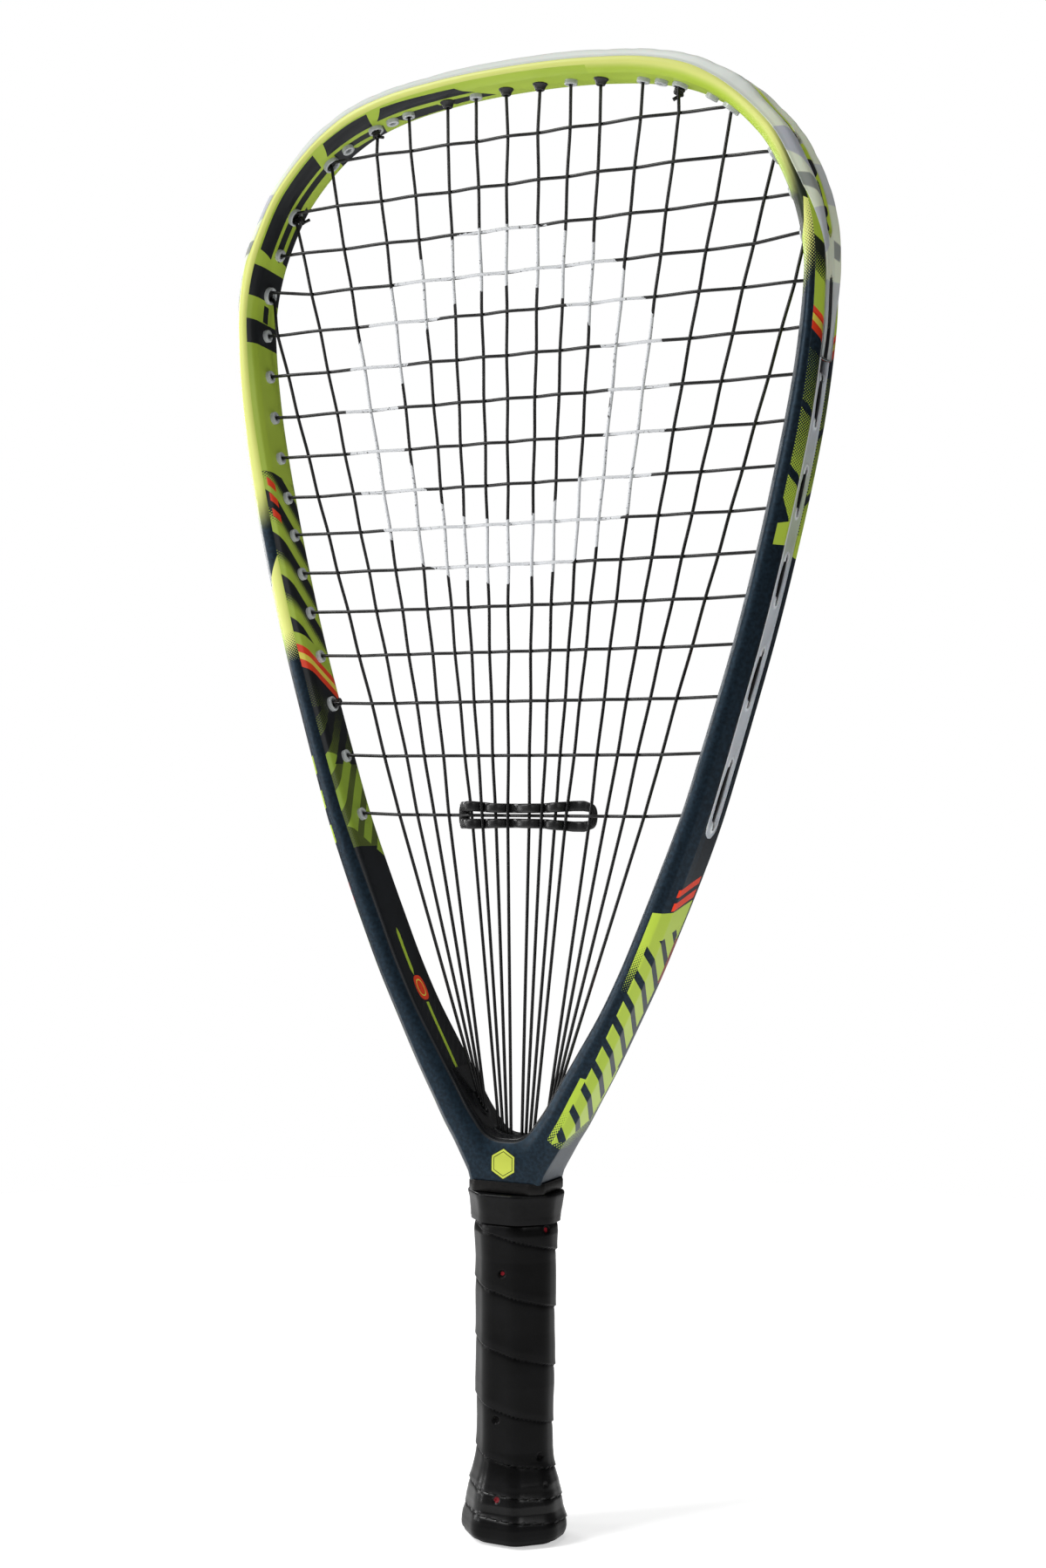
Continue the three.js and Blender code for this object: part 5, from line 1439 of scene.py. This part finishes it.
    # crown ------------------------------------------------------
    fade_l = a.ramp(245.0, 225.0)
    arrow_l = hard(g.poly(a, uu, [(251, 0.2), (268, 9.9), (330, 11.5), (330, -1.0), (256, -1.0)]))
    dots_l = g.dots(a, uu, 0.55, a.ramp(300.0, 284.0, False) * 1.3 - 0.15)
    crown_l = fade_l.max(arrow_l * dots_l)
    # right: a dark shade comes in from the outer edge, then a lime arrowhead that dissolves into the navy
    tr = a + (uu - 5.0) * 3.4
    dark_r = tr.ramp(103.0, 134.0).max(a.ramp(128.0, 137.0))
    arrow_r = joined([[(138.0, 5.0), (143.0, 10.6), (204, 10.8), (204, 3.0), (146, 3.0)], [(145.6, 3.2), (204, 3.2), (204, -1.0), (154, -0.5)]], a, uu)
    td = a + (uu - 4.0) * 2.6
    dots_r = g.dots(a, uu, 0.55, td.ramp(169.0, 138.0, False) * 1.35 - 0.12)
    crown_r = ((1.0 - dark_r) * (a < 140.5)).max(arrow_r * dots_r)
    crown = crown_l * left + crown_r * right
    # bevel and the edge of the outer face ------------------------
    ap = per.abs()
    ps = ap - 6.45                                    # 0 by the groove, grows over the bevel
    far = y > 0.0
    sb = a + ps * 0.75 - far * 3.4
    b_dark1 = between(sb, 155.5, 167.5) * g.dots(a, ap, 0.55, sb.ramp(168.0, 158.0, False) * 0.7 + 0.45)
    b_red = between(sb, 179.3, 181.9).max(between(sb, 184.3, 187.4))
    b_yel = between(sb, 181.9, 184.3)
    b_dots = g.dots(a, ap, 0.55, sb.ramp(190.0, 262.0, False) * 0.85 + 0.02)
    b_oliv = (sb > 193.4) * hard(g.poly(a - far * 3.4, ps, [(180, -3), (180, 8), (239, 8), (252, 0.4), (252, -3)])) * b_dots
    b_bars = between(sb, 211.8, 214.6).max(between(sb, 235.2, 238.8))
    b_lime = (sb < 181.0) - b_dark1
    b_tip = hard(g.poly(a - far * 3.4, ps, [(251, -3), (250.5, 1.2), (252, 5.8), (259.7, 6.4), (258.5, -3)]))
    small = ((a / 14.0) - (a / 14.0).floor() < 0.52) * between(a, 330.0, 374.0) * left * (zone > 3.3)
    # lower legs: two broad blocks that dissolve, with slanted bars between
    blk1 = hard(g.poly(a, per, [(391.5, 6.5), (398.6, -15.6), (430, -15.6), (428, 6.5)]))
    blk2 = hard(g.poly(a, per, [(460, 6.5), (466, -15.0), (491.5, -15.0), (491.5, 6.5)]))
    f1 = (a + per * 0.55).ramp(424.0, 398.0, False)
    f2 = (a + per * 0.55).ramp(494.0, 466.0, False)
    panel = (blk1 * g.dots(a, per, 0.55, f1 * 1.35 - 0.1)).max(blk2 * g.dots(a, per, 0.55, f2 * 1.35 - 0.1))
    pb = a - per * 0.75
    pcell = (pb - 411.0) / 9.3
    pfr = pcell - pcell.floor()
    inset = hard(g.poly(a, per, [(402, 5.2), (409, -12.9), (491.5, -12.9), (482, 5.2)]))
    panel = (panel * (1.0 - inset)).max(inset * (pfr > 0.36))
    curve = a + per * 0.37
    lr = (between(curve, 384.3, 387.2).max(between(curve, 389.4, 392.6))) * between(per, -9.0, 6.2)
    far_red = between(a, 407.0, 425.0) * (per > 5.3) * right
    edge_lime = b_lime.max(b_oliv).max(b_tip)
    edge_zone = zone > 3.02
    base = crown * (1.0 - edge_zone) + (edge_lime * (1.0 - b_bars) * right + crown_l * left + small).min(1.0) * edge_zone
    base = base.max(panel * (a > 380.0) * (1.0 - left * (zone < 3.9)))
    # painted highlight: the lime is painted paler towards the outside of the crown, where the light catches it
    lime_painted_highlight = g.mix(g.attr("uf").ramp(0.1, 0.4) * (1.0 - edge_zone) * (a < 385.0) * 0.9, limes, LIME_PAINTED_HIGHLIGHT)
    deep = g.mix(a.ramp(172.0, 154.0) * right, navy, srgb(40, 47, 34))
    deep = g.mix(between(a, 362.0, 396.0) * (zone > 3.9) * (y > -3.0) * 0.6, deep, srgb(8, 15, 22))
    out = g.mix(base, deep, lime_painted_highlight)
    near_stripes = between(a, 150.0, 214.0) * edge_zone
    out = g.mix((b_red * near_stripes).max(lr), out, RED)
    out = g.mix(b_yel * near_stripes, out, YELLOW)
    out = g.mix(far_red, out, srgb(132, 44, 34))
    # badge on both faces of the throat: a plain hexagon with a dark outline and a thin ring
    bd = g.poly(x, z, [(0, 147.2), (4.7, 144.4), (4.7, 138.8), (0, 136.0), (-4.7, 138.8), (-4.7, 144.4)])
    face = (zone > 1.9) * (zone < 3.6) * (z < 149.0)
    out = g.mix((bd > -0.3) * face, out, BLACK)
    out = g.mix(hard(bd) * face, out, srgb(198, 208, 84))
    out = g.mix(between(bd, 0.75, 1.05) * face, out, srgb(70, 82, 30))
    metal = (1.0 - base) * 0.72
    g.set(color=out, metal=metal, rough=(base * -0.04 + 0.42) + g.noise(300, 2.0) * 0.05, coat=coat, coat_rough=0.28, spec=spec)
    g.set(normal=g.bump(g.noise(1400, 1.0) * 0.5 + spark * 0.3, 0.00002, 0.2))
    return g.mat


def string_material():
    g = Graph("string_black")
    x, z = g.x, g.z
    rough_edge = g.noise(180, 3.0, 0.7) * 5.0 - 2.5
    r = ((x + 8.0) * (x + 8.0) + (z - 430.0) * (z - 430.0)).sqrt() + rough_edge
    ring = (r > 45.0) * (r < 69.0)
    wear = g.noise(900, 2.0, 0.6).ramp(0.70, 0.62)
    white = ring * wear * (g.y < 0.25)
    col = g.mix(g.noise(500, 2.0).ramp(0.3, 0.8), srgb(9, 9, 10), srgb(17, 17, 18))
    col = g.mix(white, col, srgb(206, 208, 211))
    g.set(color=col, rough=0.34 + white * 0.25, spec=0.4)
    g.set(normal=g.bump(g.noise(2600, 1.0), 0.00003, 0.4))
    return g.mat


def clear_plastic(name, tint, dark, rough=0.32, trans=0.0, sss=0.0):
    g = Graph(name)
    col = g.mix(g.noise(260, 2.0).ramp(0.3, 0.75), tint, dark)
    g.set(color=col, rough=rough + 0.0, spec=0.5)
    g.bsdf.inputs["Roughness"].default_value = rough
    if trans:
        g.bsdf.inputs["Transmission Weight"].default_value = trans
        g.bsdf.inputs["IOR"].default_value = 1.45
    g.set(normal=g.bump(g.noise(420, 2.0), 0.0001, 0.3))
    return g.mat


def bumper_material():
    g = Graph("bumper_translucent")
    a, v, chan, bore = g.attr("arc"), g.attr("vv"), g.attr("chan"), g.attr("bore")
    right = g.x > 0.0

    def patch(*points):
        return g.poly(a, v, list(points)).ramp(-0.25, 0.35)
    # the print below shows through the frosted plastic: green over the lime, grey over the dark shapes
    p1 = patch((110.5, -12), (114.5, -2.2), (134, -2.2), (127, -7.0), (120, -12))
    p2 = patch((129, -12), (132, -5.0), (138, -2.4), (139, -6), (134, -12))
    p3 = patch((143, -12), (141, -2.0), (154, -2.0), (160, -12))
    p4 = patch((124, 2.5), (126, 12), (141, 12), (139, 2.5))
    p5 = patch((151, 3.0), (153, 7), (158, 5.5), (157, 2.6))
    p6 = patch((166, -12), (164, 12), (200, 12), (200, -12))
    soft = p1.max(p3 * 0.9).max(p4 * 0.75).max(p6 * 0.8)
    dark = p2.max(p5) * 0.8
    cloud = g.noise(45, 3.0, 0.55)
    body = g.mix(cloud.ramp(0.35, 0.72), srgb(234, 240, 216), srgb(225, 232, 206))
    body = g.mix(a.ramp(104.0, 86.0) * 0.85, body, srgb(212, 217, 211))
    body = g.mix(soft, body, g.mix(cloud.ramp(0.3, 0.75), srgb(196, 199, 205), srgb(178, 182, 190)))
    body = g.mix(dark, body, srgb(118, 122, 126))
    body = g.mix(v.ramp(-6.8, -8.4) * a.ramp(112.0, 92.0) * 0.8, body, srgb(214, 219, 213))
    body = g.mix(v.ramp(5.0, 8.0) * a.ramp(130.0, 100.0) * 0.6, body, srgb(176, 182, 177))
    # painted shade along the guard's edges, where they meet the beam
    body = g.mix(v.abs().ramp(10.4, 11.4) * 0.3, body, srgb(120, 128, 110))
    # the floor of the slits, with painted shade in the grommet windows beyond the strings
    # painted light: the slit floor's lime is brighter than the beam's own lime, to lift the shade in the slit
    under = g.mix(a.ramp(146, 152, False), srgb(216, 240, 80), srgb(96, 108, 58))
    under = g.mix(a.ramp(154, 160, False), under, srgb(20, 21, 24))
    # painted shade: dark ovals where the grommet holes are
    win = g.oval(a, v, 125.2, 1.9, 4.3, 1.15, 3.0).max(g.oval(a, v, 141.0, 1.8, 3.0, 1.1, 3.0)) > 0.0
    under = g.mix(win, under, srgb(44, 44, 50))
    # painted shade: the near side of the slit floor is painted near black
    under = g.mix(v.ramp(-0.9, -2.0), under, srgb(22, 22, 24))
    col = g.mix(chan.ramp(0.02, 0.3), body, under)
    # painted shade: the string holes are painted near black
    col = g.mix(bore, col, srgb(10, 10, 11))
    g.set(color=col, rough=0.38 + cloud * 0.08, spec=0.4, coat=0.1)
    g.bsdf.inputs["Coat Roughness"].default_value = 0.25
    g.bsdf.inputs["Subsurface Weight"].default_value = 0.1
    g.bsdf.inputs["Subsurface Scale"].default_value = 0.002
    g.set(normal=g.bump(g.noise(240, 3.0), 0.00012, 0.35))
    return g.mat


def strip_material():
    g = Graph("strip_translucent")
    a, v, chan, rec, bore = g.attr("arc"), g.attr("vv"), g.attr("chan"), g.attr("rec"), g.attr("bore")
    boss = g.attr("boss")
    cloud = g.noise(60, 3.0, 0.55)
    body = g.mix(cloud.ramp(0.3, 0.75), srgb(182, 187, 194), srgb(200, 205, 211))
    # green tint where the print below is lime
    tint = a.ramp(214.0, 244.0) * a.ramp(268.0, 256.0)
    body = g.mix(tint * 0.45 * (g.x > 0.0), body, srgb(150, 166, 86))
    # painted shade: the recess round each string is painted dark
    body = g.mix(rec * 0.85, body, srgb(44, 46, 52))
    # painted highlight: the raised rim and the bosses round the holes are painted lighter
    body = g.mix(v.abs().ramp(4.5, 4.9) * 0.7, body, srgb(226, 229, 232))
    body = g.mix(boss * 0.85, body, srgb(222, 225, 228))
    # painted shade: the channel and the string holes are painted near black
    col = g.mix(chan, body, srgb(20, 21, 24))
    col = g.mix(bore, col, srgb(8, 8, 9))
    g.set(color=col, rough=0.36 + cloud * 0.1, spec=0.4)
    g.bsdf.inputs["Subsurface Weight"].default_value = 0.08
    g.bsdf.inputs["Subsurface Scale"].default_value = 0.0015
    g.set(normal=g.bump(g.noise(260, 3.0), 0.0001, 0.3))
    return g.mat


def dark_plastic(name, lo, hi, rough, scale=400, bump=0.0001, spec=0.5, coat=0.0):
    g = Graph(name)
    n = g.noise(scale, 3.0, 0.6)
    g.set(color=g.mix(n.ramp(0.3, 0.75), lo, hi), rough=n * 0.12 + rough, spec=spec, coat=coat)
    g.set(normal=g.bump(g.noise(scale * 2.2, 2.0), bump, 0.35))
    return g.mat


def grip_material():
    g = Graph("grip_tacky")
    up, fade = g.attr("up"), g.attr("fade")

    def nearest(kind):
        best = None
        for px, py, pz, k in PERF:
            if k not in kind:
                continue
            n = g.nodes.new("ShaderNodeVectorMath")
            n.operation = "DISTANCE"
            g.links.new(g.obj, n.inputs[0])
            n.inputs[1].default_value = (px * 0.001, py * 0.001, pz * 0.001)
            d = V(g, n.outputs["Value"]) * 1000.0
            best = d if best is None else best.min(d)
        return best
    near_red, near_dark = nearest((1,)), nearest((0,))
    best = near_red.min(near_dark)
    holes = (best < 1.35)
    rim = best.ramp(1.9, 1.4)
    redpick = (near_red < 1.1) * (g.noise(700, 2.0) > 0.33)
    fine = g.noise(2300, 2.0, 0.6)
    broad = g.noise(90, 3.0, 0.55)
    col = g.mix(broad.ramp(0.3, 0.75), srgb(8, 8, 8), srgb(14, 14, 15))
    # painted shade: a dark line along each seam, where the upper turn's edge shades the lower turn
    seam = up.ramp(0.8, 0.0).max((PITCH - up).ramp(1.2, 0.0) * 0.7) * fade
    col = g.mix(seam * 0.9, col, srgb(4, 4, 5))
    # painted highlight: a lighter line on the raised shoulder above each seam
    col = g.mix(up.ramp(0.5, 1.2) * up.ramp(4.0, 1.4) * 0.12 * fade, col, srgb(52, 52, 53))
    col = g.mix(holes * fade, col, g.mix(redpick, srgb(6, 5, 5), srgb(122, 22, 32)))
    low = g.z.ramp(27.0, 21.0) * g.z.ramp(7.0, 11.0)
    g.set(color=col, rough=broad * 0.16 + 0.24 + holes * 0.4, spec=0.08, coat=low * 0.3)
    g.bsdf.inputs["Coat Roughness"].default_value = 0.24
    n1 = g.bump(fine * 0.6 + g.noise(900, 2.0) * 0.4, 0.00006, 0.45)
    n2 = g.bump(rim * -1.0, 0.0003, 0.5, n1)
    g.set(normal=n2)
    return g.mat


def steel_material():
    g = Graph("steel_bright")
    n = g.noise(140, 4.0, 0.7)
    g.set(color=g.mix(n.ramp(0.3, 0.7), srgb(176, 178, 182), srgb(206, 208, 210)), metal=1.0, rough=n * 0.14 + 0.2)
    g.set(normal=g.bump(g.noise(1500, 2.0), 0.00002, 0.3))
    return g.mat


def foam_material():
    g = Graph("foam_pallet")
    v = V(g, g.voronoi(900.0))
    g.set(color=g.mix(v.ramp(0.0, 0.5), srgb(44, 44, 45), srgb(66, 66, 67)), rough=0.85)
    g.set(normal=g.bump(v, 0.0002, 0.6))
    return g.mat


def underlay_material():
    g = Graph("underlay_felt")
    n = g.noise(1200, 4.0, 0.7)
    g.set(color=g.mix(n.ramp(0.3, 0.7), srgb(150, 18, 28), srgb(190, 30, 38)), rough=0.8)
    g.set(normal=g.bump(n, 0.0002, 0.6))
    return g.mat


def make_materials():
    MAT["print"] = frame_material("print_inner_wall", True, 0.1, 0.3)
    MAT["frame"] = frame_material("frame_lacquer", False, 0.12, 0.28)
    MAT["bumper"] = bumper_material()
    MAT["strip"] = strip_material()
    MAT["clear"] = clear_plastic("grommet_clear", srgb(196, 200, 200), srgb(176, 180, 182), 0.25)
    # painted shade for the grommet bores
    MAT["void"] = dark_plastic("bore_painted_shade", srgb(14, 14, 15), srgb(24, 24, 25), 0.6)
    MAT["black"] = dark_plastic("grommet_black", srgb(17, 17, 18), srgb(27, 27, 28), 0.38)
    MAT["gloss_black"] = dark_plastic("insert_black", srgb(11, 12, 14), srgb(19, 20, 23), 0.22, 300, 0.00008, 0.35, 0.2)
    MAT["string"] = string_material()
    MAT["rubber"] = dark_plastic("damper_black", srgb(14, 14, 15), srgb(22, 22, 23), 0.34, 500, 0.00008, 0.4)
    MAT["grip"] = grip_material()
    MAT["sleeve"] = dark_plastic("sleeve_rubber", srgb(8, 8, 9), srgb(14, 14, 15), 0.27, 260, 0.00012, 0.12)
    MAT["tape"] = dark_plastic("band_tape", srgb(14, 13, 13), srgb(21, 20, 19), 0.36, 350, 0.00015, 0.15)
    MAT["cap"] = dark_plastic("cap_plastic", srgb(5, 5, 6), srgb(9, 9, 10), 0.3, 320, 0.0001, 0.08)
    MAT["steel"] = steel_material()
    MAT["foam"] = foam_material()
    MAT["underlay"] = underlay_material()


MAT = {}


# ------------------------------------------------------------------ stage
AMBIENT = 0.1


def build_stage():
    sc = bpy.context.scene
    sc.view_settings.view_transform = "Standard"
    sc.view_settings.look = "None"
    # floor
    me = bpy.data.meshes.new("floor")
    n = 96
    rad = 0.8
    vs = [(0, 0, -0.0004)] + [(rad * math.cos(2 * math.pi * k / n), rad * math.sin(2 * math.pi * k / n), -0.0004) for k in range(n)]
    me.from_pydata(vs, [], [(0, 1 + k, 1 + (k + 1) % n) for k in range(n)])
    floor = bpy.data.objects.new("floor", me)
    sc.collection.objects.link(floor)
    g = Graph("floor_pale")
    g.set(color=g.mix(g.noise(6, 2.0).ramp(0.3, 0.7), (0.92, 0.92, 0.92), (0.95, 0.95, 0.95)), rough=0.9)
    g.bsdf.inputs["Specular IOR Level"].default_value = 0.1
    g.bsdf.inputs["Emission Color"].default_value = (1, 1, 1, 1)
    g.bsdf.inputs["Emission Strength"].default_value = 0.5
    me.materials.append(g.mat)
    world = bpy.data.worlds.new("studio")
    world.use_nodes = True
    # a white backdrop for the camera, a dimmer even light for everything else
    nt = world.node_tree
    seen = nt.nodes.new("ShaderNodeLightPath")
    power = nt.nodes.new("ShaderNodeMapRange")
    power.inputs["To Min"].default_value = AMBIENT
    power.inputs["To Max"].default_value = 1.0
    nt.links.new(seen.outputs["Is Camera Ray"], power.inputs["Value"])
    nt.links.new(power.outputs["Result"], nt.nodes["Background"].inputs[1])
    nt.nodes["Background"].inputs[0].default_value = (1.0, 1.0, 1.0, 1.0)
    sc.world = world

    def area(name, loc, target, size, power, size_y=None, colour=(1, 1, 1)):
        d = bpy.data.lights.new(name, "AREA")
        d.energy = power
        d.color = colour
        d.shape = "RECTANGLE"
        d.size = size
        d.size_y = size_y or size
        ob = bpy.data.objects.new(name, d)
        sc.collection.objects.link(ob)
        v = Matrix.Translation(loc)
        from mathutils import Vector
        direction = Vector(target) - Vector(loc)
        ob.rotation_euler = direction.to_track_quat("-Z", "Y").to_euler()
        ob.location = loc
        return ob
    area("key", (-0.9, -1.1, 1.35), (0, 0, 0.33), 0.5, 22, 1.0)
    area("fill", (1.2, -0.75, 0.85), (0, 0, 0.42), 0.35, 3.4, 0.6)
    area("low", (-1.05, -0.9, 0.24), (0, 0, 0.05), 0.16, 2.0, 0.16)
    area("side", (-1.15, -0.3, 0.31), (-0.1, 0, 0.27), 0.3, 4.0, 0.45)
    area("rim", (-1.15, 0.6, 0.6), (0, 0, 0.35), 0.5, 5)
    area("top", (0.0, 0.0, 3.0), (0, 0.0001, 0), 1.6, 22)
    cam = bpy.data.cameras.new("camera")
    cam.sensor_width = 36.0
    cam.sensor_height = 36.0
    cam.sensor_fit = "AUTO"
    cam.lens = 36.0 * 2500.0 / 1798.0
    cam.clip_start = 0.01
    cam.clip_end = 20
    ob = bpy.data.objects.new("camera", cam)
    right = (0.90079296, 0.43420362, 0.00626533)
    up = (-0.00101313, -0.01232655, 0.99992351)
    back = (0.43424764, -0.90073041, -0.01066376)
    loc = (0.36194, -0.74698, 0.2755)
    ob.matrix_world = Matrix(((right[0], up[0], back[0], loc[0]), (right[1], up[1], back[1], loc[1]), (right[2], up[2], back[2], loc[2]), (0, 0, 0, 1)))
    sc.collection.objects.link(ob)
    sc.camera = ob


def cad_object(name):
    return bpy.data.objects.get(name)


def give(node, material):
    ob = cad_object(node)
    ob.data.materials.clear()
    ob.data.materials.append(material)


make_materials()
build_stage()
build_frame()
build_bands()
build_grommets()
build_bridge()
build_strings()
build_damper()
build_grip()
build_handle_trim()
give("handle_pallet_front", MAT["foam"])
give("handle_pallet_back", MAT["foam"])
give("grip_underlay", MAT["underlay"])
give("butt_cap_staple_left", MAT["steel"])
give("butt_cap_staple_right", MAT["steel"])
